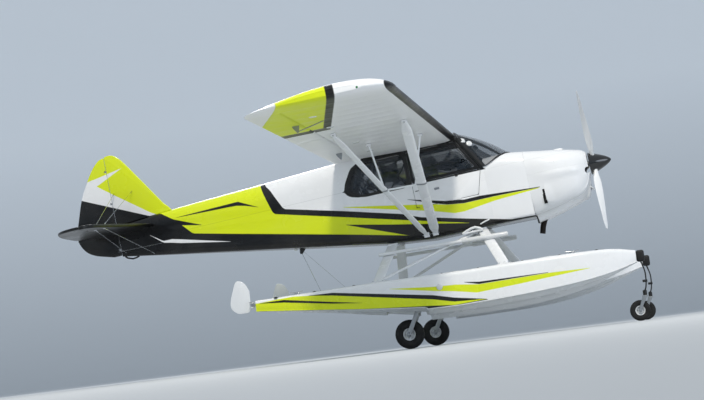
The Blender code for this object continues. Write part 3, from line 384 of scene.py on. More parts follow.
# Livery. Each edge is a line of (along, height) points in metres, and a band lies between two.
liverySpan = {"lowX": -3.75, "highX": 3.75, "lowZ": -0.75, "highZ": 2.05, "soft": 0.0035}
floatSpan = {"lowX": -1.5, "highX": 4.0, "lowZ": 0.2, "highZ": 1.2, "soft": 0.003}
wingSpan = {"lowX": 0.0, "highX": 5.5, "lowZ": -0.2, "highZ": 1.2, "soft": 0.003}
livery = {
    "maskTop": [(0.084, 0.3), (0.12, 0.41), (0.22, 0.575), (0.4, 0.675), (0.44, 0.73), (1.56, 0.73),
                (1.645, 0.655),
                (1.918, 0.19)],
    "maskLow": [(0.084, 0.3), (0.1, 0.262), (0.16, 0.218), (0.26, 0.192), (0.95, 0.192), (1.918, 0.192)],
    # bottom is the floats' white gelcoat made a little grey: painted shade under the floats
    "black": "#030304", "lime": "#DFEC12", "white": "#F2F3F4", "bottom": "#DDE0E2",
    "blackTop": [(-3.7, 1.1), (-3.504, 1.008), (-2.596, 0.595), (-2.475, 0.555), (-2.44, 2.0),
                 (-1.01, 2.0), (-0.985, 0.7), (-0.947, 0.618), (-0.89, 0.552), (-0.751, 0.269),
                 (0.022, 0.068), (0.759, -0.134), (0.988, -0.226), (1.608, -0.381), (2.112, -0.5),
                 (2.432, -0.513), (2.45, -0.72), (3.7, -0.72)],
    "limeTop": [(-3.7, 2.0), (-1.07, 2.0), (-1.041, 0.7), (-0.915, 0.285), (-0.9, 0.236),
                (0.006, -0.009), (0.804, -0.225), (1.597, -0.435), (1.62, -0.72)],
    "limeLow": [(-3.7, 1.172), (-3.275, 1.242), (-3.25, 1.143), (-3.054, 0.992), (-2.586, 0.642),
                (-2.413, 0.546), (-2.274, 0.476), (-2.169, 0.372), (-2.042, 0.235), (-1.534, 0.116),
                (-0.606, -0.096), (-0.08, -0.217), (0.783, -0.419), (1.62, -0.45)],
    "chevronTop": [(-3.7, 1.172), (-3.26, 1.243), (-2.864, 1.309), (-2.8, 1.2)],
    "chevronLow": [(-3.7, 1.19), (-3.29, 1.25), (-3.25, 1.143), (-2.864, 1.309), (-2.8, 1.35)],
    "spikeTop": [(-2.45, 0.6), (-2.274, 0.476), (-2.17, 0.432), (-1.887, 0.313), (-1.8, 0.2)],
    "spikeLow": [(-2.45, 0.3), (-2.169, 0.372), (-1.887, 0.311), (-1.8, 0.3)],
    "wedgeTop": [(-0.05, -0.2), (0.015, -0.111), (0.636, -0.244), (1.597, -0.435), (1.65, -0.6)],
    "wedgeLow": [(-0.05, -0.05), (0.015, -0.113), (0.783, -0.419), (1.65, -0.55)],
    "arrowTop": [(-2.4, 0.45), (-2.25, 0.488), (-2.157, 0.492), (-1.348, 0.504), (-1.073, 0.365),
                 (-1.0, 0.28)],
    "arrowLow": [(-2.4, 0.53), (-2.25, 0.488), (-2.159, 0.484), (-1.385, 0.456), (-1.268, 0.43),
                 (-1.073, 0.365), (-1.0, 0.42)],
    "thinTop": [(-2.8, 0.2), (-2.637, 0.342), (-2.469, 0.226), (-2.347, 0.224), (-2.221, 0.194),
                (-1.549, 0.016), (-1.45, -0.1)],
    "thinLow": [(-2.8, 0.42), (-2.637, 0.339), (-2.469, 0.203), (-2.357, 0.18), (-2.231, 0.147),
                (-1.549, 0.014), (-1.45, 0.1)],
    "doorBlackTop": [(0.75, -0.05), (0.859, 0.035), (1.188, -0.052), (1.342, -0.093), (1.581, -0.127),
                     (1.786, -0.124), (2.548, -0.175), (2.65, -0.25)],
    "doorBlackLow": [(0.75, 0.1), (0.858, 0.033), (1.105, -0.06), (1.181, -0.086), (1.353, -0.143),
                     (1.572, -0.173), (1.978, -0.17), (2.548, -0.183), (2.65, -0.1)],
    "doorLimeTop": [(-0.07, 0.05), (0.033, 0.117), (1.178, -0.097), (1.353, -0.143), (1.572, -0.173),
                    (1.978, -0.17), (2.546, -0.183), (2.65, -0.3)],
    "doorLimeLow": [(-0.07, 0.2), (0.031, 0.112), (1.16, -0.184), (1.428, -0.271), (1.55, -0.276),
                    (1.966, -0.225), (2.544, -0.191), (2.65, -0.1)],
}
floatLivery = {
    "blackTop": [(-0.5, 0.76), (-0.36, 0.805), (-0.058, 0.8), (1.196, 0.612), (1.453, 0.55),
                 (1.838, 0.488), (1.95, 0.4)],
    "limeTop": [(-1.2, 0.79), (-1.02, 0.792), (-0.807, 0.808), (-0.566, 0.818), (-0.36, 0.802),
                (-0.062, 0.766), (1.19, 0.561), (1.447, 0.502), (1.838, 0.488), (1.95, 0.4)],
    "limeLow": [(-1.2, 0.6), (-1.041, 0.693), (-0.083, 0.595), (0.311, 0.553), (1.18, 0.486),
                (1.447, 0.462), (1.838, 0.486), (1.95, 0.6)],
    "lineTop": [(-1.2, 0.7), (-1.02, 0.79), (-0.687, 0.791), (-0.072, 0.689), (0.32, 0.628), (0.45, 0.5)],
    "lineLow": [(-1.2, 0.9), (-1.02, 0.786), (-0.691, 0.758), (-0.074, 0.667), (0.32, 0.626), (0.45, 0.75)],
    "foreLimeTop": [(0.55, 0.65), (0.665, 0.756), (1.209, 0.712), (1.473, 0.705), (1.764, 0.673),
                    (2.609, 0.703), (3.107, 0.701), (3.25, 0.6)],
    "foreLimeLow": [(0.55, 0.85), (0.665, 0.753), (1.202, 0.662), (1.463, 0.626), (1.731, 0.576),
                    (2.246, 0.616), (3.106, 0.697), (3.25, 0.8)],
    "foreBlackTop": [(1.45, 0.62), (1.583, 0.723), (1.767, 0.703), (2.609, 0.711), (2.75, 0.6)],
    "foreBlackLow": [(1.45, 0.85), (1.583, 0.719), (1.764, 0.675), (2.609, 0.705), (2.75, 0.8)],
    # Below this line the float bottoms take the greyed white: painted shade of the underside
    "bottomTop": [(-1.2, 0.66), (-1.041, 0.69), (-0.083, 0.592), (0.311, 0.55), (1.09, 0.482), (1.12, 0.46),
                  (1.5, 0.458), (2.5, 0.512), (3.1, 0.577), (3.4, 0.637), (3.7, 0.72)],
}
# The wing tip's bands, as (metres in from the tip, share of the chord ahead of the trailing edge)
wingLivery = {
    "tipY": 5.22, "trailX": 0.035, "leadX": 1.635, "leadBand": (0.955, 0.959),
    "blackTop": [(0.0, 0.64), (2.02, 0.345), (2.06, -0.1)],
    "blackLow": [(0.0, 0.25), (1.0, 0.0), (1.1, -0.15)],
    "limeTop": [(0.0, 0.584), (1.83, 0.317), (1.87, -0.1)],
    "limeLow": [(0.0, 0.25), (1.0, 0.0), (1.1, -0.15)],
}


class LiveryBands:
    # Builds a livery inside one node group, from bands between lines seen along two axes
    def __init__(self, tree, along, height, span):
        self.tree = tree
        self.span = span
        self.along = self.part(along, span["lowX"], span["highX"])
        self.height = self.part(height, span["lowZ"], span["highZ"])

    def part(self, socket, low, high):
        return addNode(self.tree, "MapRange", {"Value": socket, "From Min": low,
                                               "From Max": high}).outputs["Result"]

    def edge(self, points):
        # The edge's height at each place along, as a share of the span
        span = self.span
        node = addNode(self.tree, "FloatCurve", {"Value": self.along})
        curve = node.mapping.curves[0]
        spots = [((x - span["lowX"]) / (span["highX"] - span["lowX"]),
                  (z - span["lowZ"]) / (span["highZ"] - span["lowZ"])) for x, z in points]
        if spots[0][0] > 0:
            spots.insert(0, (0.0, spots[0][1]))
        if spots[-1][0] < 1:
            spots.append((1.0, spots[-1][1]))
        while len(curve.points) < len(spots):
            curve.points.new(0.5, 0.5)
        for point, spot in zip(curve.points, spots):
            point.location = spot
            point.handle_type = "VECTOR"
        node.mapping.update()
        return node.outputs["Value"]

    def under(self, points):
        # 1 below the edge and 0 above it, with a fine soft step
        gap = addNode(self.tree, "Math", {0: self.edge(points), 1: self.height}, operation="SUBTRACT")
        size = self.span["soft"] / (self.span["highZ"] - self.span["lowZ"])
        return addNode(self.tree, "MapRange", {"Value": gap.outputs[0], "From Min": -size, "From Max": size}
                       ).outputs["Result"]

    def band(self, top, low):
        below = self.under(low)
        over = addNode(self.tree, "Math", {0: 1.0, 1: below}, operation="SUBTRACT").outputs[0]
        return addNode(self.tree, "Math", {0: self.under(top), 1: over}, operation="MULTIPLY").outputs[0]

    def laid(self, base, mask, paint):
        mix = addNode(self.tree, "Mix", {0: mask, 6: base, 7: hexColour(livery[paint])}, data_type="RGBA")
        return mix.outputs[2]

    def painted(self, lines, order, lead=None):
        # White first, then each band: between its Top and Low lines, or all below Top where it has no Low
        colour = addNode(self.tree, "RGB").outputs[0]
        colour.default_value = hexColour(livery["white"])
        for name, paint in order:
            top, low = lines[name + "Top"], lines.get(name + "Low")
            colour = self.laid(colour, self.band(top, low) if low else self.under(top), paint)
        if lead:
            colour = self.laid(colour, lead, "black")
        output = self.tree.nodes.new("NodeGroupOutput")
        self.tree.links.new(colour, output.inputs["Color"])
        return self.tree


def liveryPlace(name, shift, tilt=0.0):
    # A new group, and the surface's place moved and turned into the frame of the livery's lines
    group = bpy.data.node_groups.new(name, "ShaderNodeTree")
    group.interface.new_socket("Color", in_out="OUTPUT", socket_type="NodeSocketColor")
    place = addNode(group, "TexCoord").outputs["Object"]
    place = addNode(group, "Mapping", {"Vector": place, "Location": shift}).outputs["Vector"]
    if tilt:
        place = addNode(group, "VectorRotate", {"Vector": place, "Angle": tilt}, rotation_type="Y_AXIS"
                        ).outputs["Vector"]
    return group, addNode(group, "SeparateXYZ", {"Vector": place}).outputs


def fuselageLivery():
    # White, lime and black paint on the fuselage, cowl, doors, fin and rudder, masked in side view
    group, place = liveryPlace("fuselageLivery", tuple(-airOrigin), noseUp)
    bands = LiveryBands(group, place["X"], place["Z"], liverySpan)
    return bands.painted(livery, (("black", "black"), ("lime", "lime"), ("chevron", "white"),
                                  ("spike", "black"),
                                  ("wedge", "black"), ("arrow", "black"), ("thin", "white"),
                                  ("doorLime", "lime"), ("doorBlack", "black"), ("mask", "black")))


def floatSideLivery():
    group, place = liveryPlace("floatLivery", (groundX, 0.0, 0.0))
    bands = LiveryBands(group, place["X"], place["Z"], floatSpan)
    return bands.painted(floatLivery, (("black", "black"), ("lime", "lime"), ("line", "black"),
                                       ("foreLime", "lime"), ("foreBlack", "black"), ("bottom", "bottom")))


def wingTipLivery():
    size = wingLivery
    group, place = liveryPlace("wingLivery", tuple(-airOrigin), noseUp)
    reach = addNode(group, "Math", {0: place["Y"]}, operation="ABSOLUTE").outputs[0]
    inboard = addNode(group, "Math", {0: size["tipY"], 1: reach}, operation="SUBTRACT").outputs[0]
    share = addNode(group, "MapRange", {"Value": place["X"], "From Min": size["trailX"],
                                        "From Max": size["leadX"]}, clamp=False).outputs["Result"]
    low, high = size["leadBand"]
    lead = addNode(group, "MapRange", {"Value": share, "From Min": low, "From Max": high}).outputs["Result"]
    bands = LiveryBands(group, inboard, share, wingSpan)
    return bands.painted(size, (("black", "black"), ("lime", "lime")), lead)


def waveBump(tree, direction, spacing, depth, strength=0.5):
    # Even ridges across one axis: ribs or stringers under the fabric. spacing and depth in metres.
    wave = addNode(tree, "TexWave", {"Vector": objectPoint(tree), "Scale": math.pi / (10 * spacing),
                                     "Distortion": 0.0}, wave_type="BANDS", bands_direction=direction,
                   wave_profile="SIN")
    ridge = addNode(tree, "MapRange", {"Value": wave.outputs["Fac"], "From Min": 0.9, "From Max": 1.0})
    return addNode(tree, "Bump", {"Height": ridge.outputs["Result"], "Distance": depth, "Strength": strength}
                   ).outputs["Normal"]


def orangePeel(tree, normal=None, size=0.004, depth=0.00012):
    # The faint waviness of sprayed paint, drawn coarser than it is so that it shows
    noise = addNode(tree, "TexNoise", {"Vector": objectPoint(tree), "Scale": 1 / size, "Detail": 2.0})
    inputs = {"Height": noise.outputs["Fac"], "Distance": depth, "Strength": 0.35}
    if normal:
        inputs["Normal"] = normal
    return addNode(tree, "Bump", inputs).outputs["Normal"]


def paintedSurface(name, group=None, code=None, rough=(0.18, 0.32), ribs=None, coat=0.2, dust=0.05):
    # Two-pack polyurethane over fabric or composite: glossy, with a clear coat and slight dust
    material, tree, shader = newMaterial(name)
    if group:
        colour = tree.nodes.new("ShaderNodeGroup")
        colour.node_tree = group
        colour = colour.outputs["Color"]
    else:
        colour = addNode(tree, "RGB").outputs[0]
        colour.default_value = hexColour(code)
    film = addNode(tree, "TexNoise", {"Vector": objectPoint(tree), "Scale": 2.2, "Detail": 6.0,
                                      "Roughness": 0.6})
    veil = addNode(tree, "MapRange", {"Value": film.outputs["Fac"], "From Min": 0.45, "From Max": 0.8,
                                      "To Min": 0.0, "To Max": dust}).outputs["Result"]
    mixed = addNode(tree, "Mix", {0: veil, 6: colour, 7: hexColour("#B5B0A4")}, data_type="RGBA").outputs[2]
    tree.links.new(mixed, shader.inputs["Base Color"])
    tree.links.new(roughnessPatches(tree, *rough), shader.inputs["Roughness"])
    shader.inputs["Specular IOR Level"].default_value = 0.38
    shader.inputs["Coat Weight"].default_value = coat
    shader.inputs["Coat Roughness"].default_value = 0.06
    normal = waveBump(tree, *ribs) if ribs else None
    tree.links.new(orangePeel(tree, normal), shader.inputs["Normal"])
    return material


def plainSurface(name, code, rough, metallic=0.0, grain=0.0, grainDepth=0.0003, coat=0.0):
    # Colour with slow gloss changes, and a grain of the given size in metres
    material, tree, shader = newMaterial(name)
    noise = addNode(tree, "TexNoise", {"Vector": objectPoint(tree), "Scale": 9.0, "Detail": 5.0})
    tint = addNode(tree, "Mix", {0: noise.outputs["Fac"], 6: hexColour(code),
                                 7: tuple(c * 0.82 for c in hexColour(code)[:3]) + (1.0,)}, data_type="RGBA")
    tree.links.new(tint.outputs[2], shader.inputs["Base Color"])
    tree.links.new(roughnessPatches(tree, rough * 0.85, min(rough * 1.2, 1.0), 0.08),
                   shader.inputs["Roughness"])
    shader.inputs["Metallic"].default_value = metallic
    shader.inputs["Coat Weight"].default_value = coat
    if grain:
        bump = addNode(tree, "TexNoise", {"Vector": objectPoint(tree), "Scale": 1 / grain, "Detail": 3.0})
        normal = addNode(tree, "Bump", {"Height": bump.outputs["Fac"], "Distance": grainDepth,
                                        "Strength": 0.6})
        tree.links.new(normal.outputs["Normal"], shader.inputs["Normal"])
    return material


def clearAcrylic():
    # Bent polycarbonate sheet: clear, with a faint blue-grey tint and a hard gloss
    material, tree, shader = newMaterial("clearPolycarbonate")
    shader.inputs["Base Color"].default_value = hexColour("#1E2A36")
    tree.links.new(roughnessPatches(tree, 0.02, 0.07, 0.2), shader.inputs["Roughness"])
    shader.inputs["Alpha"].default_value = 0.24
    shader.inputs["IOR"].default_value = 1.58
    shader.inputs["Coat Weight"].default_value = 1.0
    shader.inputs["Coat Roughness"].default_value = 0.02
    return material


fabricLivery = fuselageLivery()
topcoat = paintedSurface("polyurethaneOnFabric", fabricLivery, ribs=("Z", 0.13, 0.0012, 0.25))
cowlCoat = paintedSurface("polyurethaneOnComposite", fabricLivery, rough=(0.14, 0.24))
tailCoat = paintedSurface("polyurethaneOnTailFabric", fabricLivery, ribs=("X", 0.22, 0.0015, 0.3))
wingCoat = paintedSurface("polyurethaneOnWingFabric", wingTipLivery(), ribs=("Y", 0.3, 0.0025, 0.45),
                          rough=(0.28, 0.42), coat=0.05)
blackCoat = paintedSurface("blackPolyurethaneOnFabric", code="#050607", rough=(0.26, 0.4),
                           ribs=("Y", 0.25, 0.0015, 0.3), coat=0.15, dust=0.0)
gelcoat = paintedSurface("polyesterGelcoat", floatSideLivery(), rough=(0.18, 0.34), dust=0.08)
strutCoat = paintedSurface("whitePowderCoatOnAlloy", code="#ECEEF0", rough=(0.2, 0.32), coat=0.3)
bladeCoat = paintedSurface("whiteLacquerOnCarbonBlade", code="#F1F2F2", rough=(0.15, 0.25))
spinnerCoat = paintedSurface("blackLacquerOnSpunAlloy", code="#060608", rough=(0.05, 0.12), coat=1.0,
                             dust=0.0)
glazing = clearAcrylic()
blackTrim = plainSurface("blackSatinPaint", "#0B0C0E", 0.38, grain=0.002)
tyreRubber = plainSurface("treadRubber", "#131313", 0.78, grain=0.003, grainDepth=0.0006)
rimCoat = plainSurface("whiteEnamelOnCastAlloy", "#E6E8E9", 0.28, coat=0.4)
gearSteel = plainSurface("zincPlatedSteel", "#A9ADB1", 0.34, 0.9, grain=0.004)
polishedSteel = plainSurface("polishedStainless", "#C9CCCF", 0.15, 1.0)
burntSteel = plainSurface("heatStainedExhaust", "#2A2624", 0.42, 0.85, grain=0.006)
springBlack = plainSurface("blackPowderCoat", "#101113", 0.42, grain=0.003)
bumperRubber = plainSurface("mouldedBumperRubber", "#0E0E0F", 0.62, grain=0.004)
castAlloy = plainSurface("sandCastAlloy", "#8A8C8E", 0.45, 0.8, grain=0.003)
seatCloth = plainSurface("wovenSeatCloth", "#24262A", 0.9, grain=0.004, grainDepth=0.0008)
# Near-black paint for the cowl's inlets, cheek slots and scoop mouth: painted shade where their insides would
# be dark
paintedShadeBlack = plainSurface("paintedDuctShade", "#050505", 0.9)
gripSand = plainSurface("gritDeckPaint", "#8E9296", 0.95, grain=0.003, grainDepth=0.001)
panelPaint = plainSurface("crackleFinishPanel", "#1A1C1F", 0.65, grain=0.002, grainDepth=0.0005)
dialFace = plainSurface("printedDialFace", "#2B2F33", 0.35, coat=0.6)
lampRed = plainSurface("redLampGlass", "#A01010", 0.08, coat=1.0)
lampGreen = plainSurface("greenLampGlass", "#0B7A3A", 0.08, coat=1.0)
print("materials are mixed")


# Stage: a pale floor that curves up far away into a plain wall all round, so no horizon shows
stage = {"flat": 150.0, "bend": 26.0, "wallTop": 62.0, "sides": 128, "fade": 0.2, "glow": 0.15,
         "floor": "#BFC3C7", "wall": "#E9EEF3", "sky": "#DCE6F0", "skyStrength": 0.74}
# Name, place, aim, size in metres, power in watts, colour
lights = (("keyFromRightAbove", (3.5, -13.0, 20.0), (0.0, 0.0, 1.0), 3.0, 2800.0, "#FFF7EA"),
          ("fillFromAhead", (16.0, -10.0, 5.0), (0.0, 0.0, 1.5), 8.0, 450.0, "#E8F1FF"),
          ("rimFromFarSide", (-6.0, 15.0, 12.0), (0.0, 0.0, 2.0), 6.0, 700.0, "#FFFFFF"))


def addStage():
    rows = []
    for radius, height in [(0.02, 0.0), (8.0, 0.0), (24.0, 0.0), (70.0, 0.0), (stage["flat"], 0.0)] + [
            (stage["flat"] + stage["bend"] * math.sin(a), stage["bend"] * (1 - math.cos(a)))
            for a in [math.pi / 2 * i / 12 for i in range(1, 13)]] + [
            (stage["flat"] + stage["bend"], stage["wallTop"])]:
        rows.append([Vector((radius * math.cos(a), radius * math.sin(a), height))
                     for a in [2 * math.pi * i / stage["sides"] for i in range(stage["sides"])]])
    sweep = gridSkin("studioSweep", rows, capped=False)
    editAll(sweep)
    bpy.ops.mesh.normals_make_consistent(inside=True)
    leaveEdit()
    soloSelect(sweep)
    bpy.ops.object.shade_smooth()
    material, tree, shader = newMaterial("paintedStudioSweep")
    height = addNode(tree, "SeparateXYZ",
                     {"Vector": addNode(tree, "TexCoord").outputs["Object"]}).outputs["Z"]
    share = addNode(tree, "MapRange", {"Value": height, "From Min": stage["fade"],
                                       "From Max": stage["bend"]}).outputs["Result"]
    shade = addNode(tree, "Mix", {0: share, 6: hexColour(stage["floor"]), 7: hexColour(stage["wall"])},
                    data_type="RGBA")
    tree.links.new(shade.outputs[2], shader.inputs["Base Color"])
    glow = addNode(tree, "Math", {0: share, 1: stage["glow"]}, operation="MULTIPLY").outputs[0]
    tree.links.new(glow, shader.inputs["Emission Strength"])
    shader.inputs["Emission Color"].default_value = hexColour(stage["wall"])
    shader.inputs["Roughness"].default_value = 0.9
    sweep.data.materials.append(material)


def addLight(name, place, target, size, power, colour):
    data = bpy.data.lights.new(name, "AREA")
    data.shape = "DISK"
    data.size = size
    data.energy = power
    data.color = hexColour(colour)[:3]
    lamp = bpy.data.objects.new(name, data)
    bpy.context.scene.collection.objects.link(lamp)
    lamp.location = place
    lamp.rotation_euler = (Vector(target) - Vector(place)).to_track_quat("-Z", "Y").to_euler()


def addWorld():
    world = bpy.data.worlds.new("paleDay")
    world.use_nodes = True
    tree = world.node_tree
    background = tree.nodes["Background"]
    background.inputs["Color"].default_value = hexColour(stage["sky"])
    background.inputs["Strength"].default_value = stage["skyStrength"]
    bpy.context.scene.world = world


addStage()
addWorld()
for light in lights:
    addLight(*light)
bpy.context.scene.view_settings.view_transform = "Standard"
print("stage and lights are set")


def curvedBetween(table, x, column):
    # A smooth curve through a table's column, read at x
    last = len(table) - 1
    i = max(0, min(last - 1, sum(1 for row in table[1:] if x > row[0])))
    low, high = table[i], table[i + 1]
    span = high[0] - low[0]
    slope = (high[column] - low[column]) / span
    before = (low[column] - table[i - 1][column]) / (low[0] - table[i - 1][0]) if i > 0 else slope
    after = (table[i + 2][column] - high[column]) / (table[i + 2][0] - high[0]) if i + 2 <= last else slope
    t = (x - low[0]) / span
    start, end = (before + slope) / 2 * span, (slope + after) / 2 * span
    return ((2 * t ** 3 - 3 * t ** 2 + 1) * low[column] + (t ** 3 - 2 * t ** 2 + t) * start
            + (3 * t ** 2 - 2 * t ** 3) * high[column] + (t ** 3 - t ** 2) * end)


def curvedOutline(points, steps=5, corners=()):
    # A closed outline rounded through its points. The numbered corners stay sharp.
    made = []
    count = len(points)
    spots = [Vector(point) for point in points]
    for i in range(count):
        a, b, c, d = (spots[(i + k) % count] for k in (-1, 0, 1, 2))
        out = (c - b) if i in corners else (c - a) / 2
        into = (c - b) if (i + 1) % count in corners else (d - b) / 2
        straight = i in corners and (i + 1) % count in corners
        reach = (c - b).length
        out = out.normalized() * min(out.length, reach)
        into = into.normalized() * min(into.length, reach)
        for step in range(1 if straight else steps):
            t = step / steps
            made.append((2 * t ** 3 - 3 * t ** 2 + 1) * b + (t ** 3 - 2 * t ** 2 + t) * out
                        + (3 * t ** 2 - 2 * t ** 3) * c + (t ** 3 - t ** 2) * into)
    return [tuple(point) for point in made]


def stations(low, high, count):
    return [low + (high - low) * i / (count - 1) for i in range(count)]


def smoothStep(value, low, high):
    t = max(0.0, min(1.0, (value - low) / (high - low)))
    return t * t * (3 - 2 * t)


def extrudeThrough(name, rings):
    # A filled outline extruded from ring to ring, which leaves a closed solid
    bpy.ops.object.select_all(action="DESELECT")
    bpy.ops.mesh.primitive_circle_add(vertices=len(rings[0]), fill_type="NGON")
    solid = bpy.context.object
    solid.name = name
    for vertex, point in zip(solid.data.vertices, rings[0]):
        vertex.co = point
    editAll(solid)
    for old, new in zip(rings, rings[1:]):
        known = {tuple(round(c, 5) for c in Vector(point).to_tuple(5)): i for i, point in enumerate(old)}
        bpy.ops.mesh.extrude_region_move()
        mesh = bmesh.from_edit_mesh(solid.data)
        chosen = [vertex for vertex in mesh.verts if vertex.select]
        spare = list(range(len(old)))
        for vertex in chosen:
            i = known.get(tuple(round(c, 5) for c in vertex.co.to_tuple(5)))
            if i is None:
                i = min(spare, key=lambda k: (Vector(old[k]) - vertex.co).length_squared)
            spare.remove(i)
            vertex.co = new[i]
        bmesh.update_edit_mesh(solid.data)
    bpy.ops.mesh.select_all(action="SELECT")
    bpy.ops.mesh.normals_make_consistent(inside=False)
    leaveEdit()
    return solid


# Fuselage skin. Columns: x, half width, bottom z, shoulder z, crown z, squareness of the crown
fuselage = {
    "rear": ((-3.08, 0.02, 0.15, 0.5, 0.56, 2.2), (-2.3, 0.112, 0.013, 0.455, 0.618, 2.2),
             (-2.00, 0.148, -0.038, 0.43, 0.634, 2.2), (-1.00, 0.255, -0.208, 0.36, 0.678, 2.4),
             (0.0397, 0.36, -0.385, 0.3, 0.712, 4.5)),
    "boot": ((1.9003, 0.36, -0.52, 0.15, 0.352, 3.0), (2.16, 0.357, -0.525, 0.135, 0.366, 3.0),
             (2.4197, 0.347, -0.53, 0.06, 0.333, 2.8)),
    "corner": 0.06, "fabricSag": 0.0035, "stringers": 3, "fabricWall": 0.012, "metalWall": 0.008,
}


def hullRing(x, sizes, sag=0.0, steps=13):
    half, bottom, shoulder, crown, square = sizes
    corner = min(fuselage["corner"], half * 0.5)
    left = []
    for step in range(6):
        angle = math.pi / 2 * step / 5
        left.append((half - corner * (1 - math.sin(angle)), bottom + corner * (1 - math.cos(angle))))
    for step in range(1, steps):
        t = step / steps
        dip = sag * abs(math.sin(math.pi * fuselage["stringers"] * t))
        left.append((half - dip, bottom + corner + (shoulder - bottom - corner) * t))
    for step in range(steps):
        angle = math.pi / 2 * step / steps
        left.append((half * math.cos(angle) ** (2 / square),
                     shoulder + (crown - shoulder) * math.sin(angle) ** (2 / square)))
    return ([Vector((x, 0.0, bottom))] + [Vector((x, y, z)) for y, z in left] + [Vector((x, 0.0, crown))]
            + [Vector((x, -y, z)) for y, z in reversed(left)])


def hullSizes(table, x, inset=0.0):
    half, bottom, shoulder, crown, square = (curvedBetween(table, x, column) for column in range(1, 6))
    return half - inset, bottom + inset, shoulder, crown - inset, square


def makeRearFuselage():
    table = fuselage["rear"]
    rows = []
    for x in stations(table[0][0], table[-1][0], 46):
        bay = abs(math.sin(math.pi * (x - table[-1][0]) / 0.62))
        rows.append(hullRing(x, hullSizes(table, x), fuselage["fabricSag"] * bay * smoothStep(x, -2.9, -2.3)))
    skin = gridSkin("rearFuselageSkin", rows, capped=False)
    editAll(skin)
    bpy.ops.mesh.select_all(action="DESELECT")
    mesh = bmesh.from_edit_mesh(skin.data)
    for edge in mesh.edges:
        edge.select = edge.is_boundary and all(vertex.co.x < table[0][0] + 0.001 for vertex in edge.verts)
    bmesh.update_edit_mesh(skin.data)
    bpy.ops.mesh.edge_face_add()
    bpy.ops.mesh.select_all(action="SELECT")
    bpy.ops.mesh.normals_make_consistent(inside=False)
    leaveEdit()
    walled(skin, fuselage["fabricWall"])
    fitted(skin, topcoat, "rear_fuselage")


def makeBootCowl():
    table = fuselage["boot"]
    rows = [hullRing(x, hullSizes(table, x)) for x in stations(table[0][0], table[-1][0], 12)]
    skin = gridSkin("bootCowlSkin", rows, capped=False)
    facedOut(skin)
    walled(skin, fuselage["metalWall"])
    fitted(skin, cowlCoat, "boot_cowl")
    edge = table[-1][0] - 0.002
    sheet = extrudeThrough("firewallSheet", [hullRing(x, hullSizes(table, edge, 0.006))
                                             for x in (edge - 0.008, edge)])
    fitted(sheet, polishedSteel, "boot_cowl")


makeRearFuselage()
makeBootCowl()
print("fuselage skins are on")


# Cowl. Upper columns: x, half width, crown z, squareness
cowl = {
    "upper": ((2.42, 0.347, 0.333, 2.8), (2.65, 0.372, 0.292, 2.6), (2.85, 0.365, 0.259, 2.4),
              (3.05, 0.29, 0.215, 2.2), (3.14, 0.215, 0.188, 2.0), (3.185, 0.154, 0.154, 2.0)),
    # Lower columns: x, half width, body bottom z, scoop half width, scoop bottom z
    "lower": ((2.42, 0.347, -0.515, 0.17, -0.611), (2.65, 0.372, -0.48, 0.165, -0.56),
              (2.85, 0.365, -0.43, 0.155, -0.505), (3.05, 0.29, -0.36, 0.14, -0.44),
              (3.14, 0.215, -0.26, 0.12, -0.385), (3.185, 0.154, -0.12, 0.08, -0.17)),
    "wall": 0.008, "scoopZ": -0.295, "grooveDepth": 0.022, "lip": 0.016, "lipX": (2.6, 2.725),
        "lipZ": (-0.405, -0.205),
}


def cowlGroove(x, z):
    # The hollow that runs forward under the upper half, above the cheek
    along = smoothStep(x, 2.46, 2.8) * (1 - smoothStep(x, 3.0, 3.16))
    return cowl["grooveDepth"] * along * math.exp(-((z + 0.055) / 0.045) ** 2)


def cowlLip(x, z):
    # The cheek's outlet lip stands out ahead of the slot and fades forward
    if x < cowl["lipX"][0]:
        return 0.0
    low, high = cowl["lipZ"]
    upright = smoothStep(z, low - 0.02, low + 0.02) * (1 - smoothStep(z, high - 0.02, high + 0.03))
    return cowl["lip"] * upright * (1 - smoothStep(x, *cowl["lipX"]))


def cowlSpot(x, y, z):
    shift = cowlLip(x, z) - cowlGroove(x, z)
    return Vector((x, y + math.copysign(shift, y) if abs(y) > 0.1 else y, z))


def upperCowlRing(x):
    half, crown, square = (curvedBetween(cowl["upper"], x, column) for column in (1, 2, 3))
    ring = []
    for step in range(-16, 17):
        angle = math.pi / 2 * (1 - abs(step) / 16)
        y = half * math.cos(angle) ** (2 / square)
        z = 0.0002 + crown * math.sin(angle) ** (2 / square)
        if abs(step) == 16:
            y, z = half, 0.0002
        ring.append(cowlSpot(x, -math.copysign(y, step) if step else 0.0, z))
    return ring


def lowerCowlRing(x):
    half, bottom, scoop, scoopLow = (curvedBetween(cowl["lower"], x, column) for column in (1, 2, 3, 4))
    side = [(half, -0.0002), (half * 0.995, bottom * 0.22), (half * 0.985, bottom * 0.45),
            (half * 0.93, bottom * 0.7), (half * 0.83, bottom * 0.88),
            ((half * 0.83 + scoop) / 2 + 0.03, bottom * 0.975),
            (scoop + 0.028, bottom), (scoop + 0.006, bottom * 0.7 + scoopLow * 0.3),
            (scoop * 0.96, bottom * 0.3 + scoopLow * 0.7), (scoop * 0.8, scoopLow * 0.995),
            (scoop * 0.4, scoopLow)]
    points = [Vector(point) for point in side] + [Vector((0.0, scoopLow))]
    half = []
    for i in range(len(points) - 1):
        a = points[max(i - 1, 0)]
        b, c = points[i], points[i + 1]
        d = points[min(i + 2, len(points) - 1)]
        for step in range(3):
            t = step / 3
            half.append(0.5 * ((2 * b) + (c - a) * t + (2 * a - 5 * b + 4 * c - d) * t ** 2
                               + (3 * b - a - 3 * c + d) * t ** 3))
    left = [cowlSpot(x, y, z) for y, z in half]
    return ([Vector((x, -spot.y, spot.z)) for spot in left] + [Vector((x, 0.0, scoopLow))]
            + [Vector(spot) for spot in reversed(left)])


def cowlHalf(name, ring):
    places = sorted(stations(2.42, 3.14, 26) + [2.5995, 2.6005] + stations(3.15, 3.185, 5))
    half = gridSkin(name, [ring(x) for x in places], closed=False, capped=False)
    facedOut(half)
    return walled(half, cowl["wall"], False)


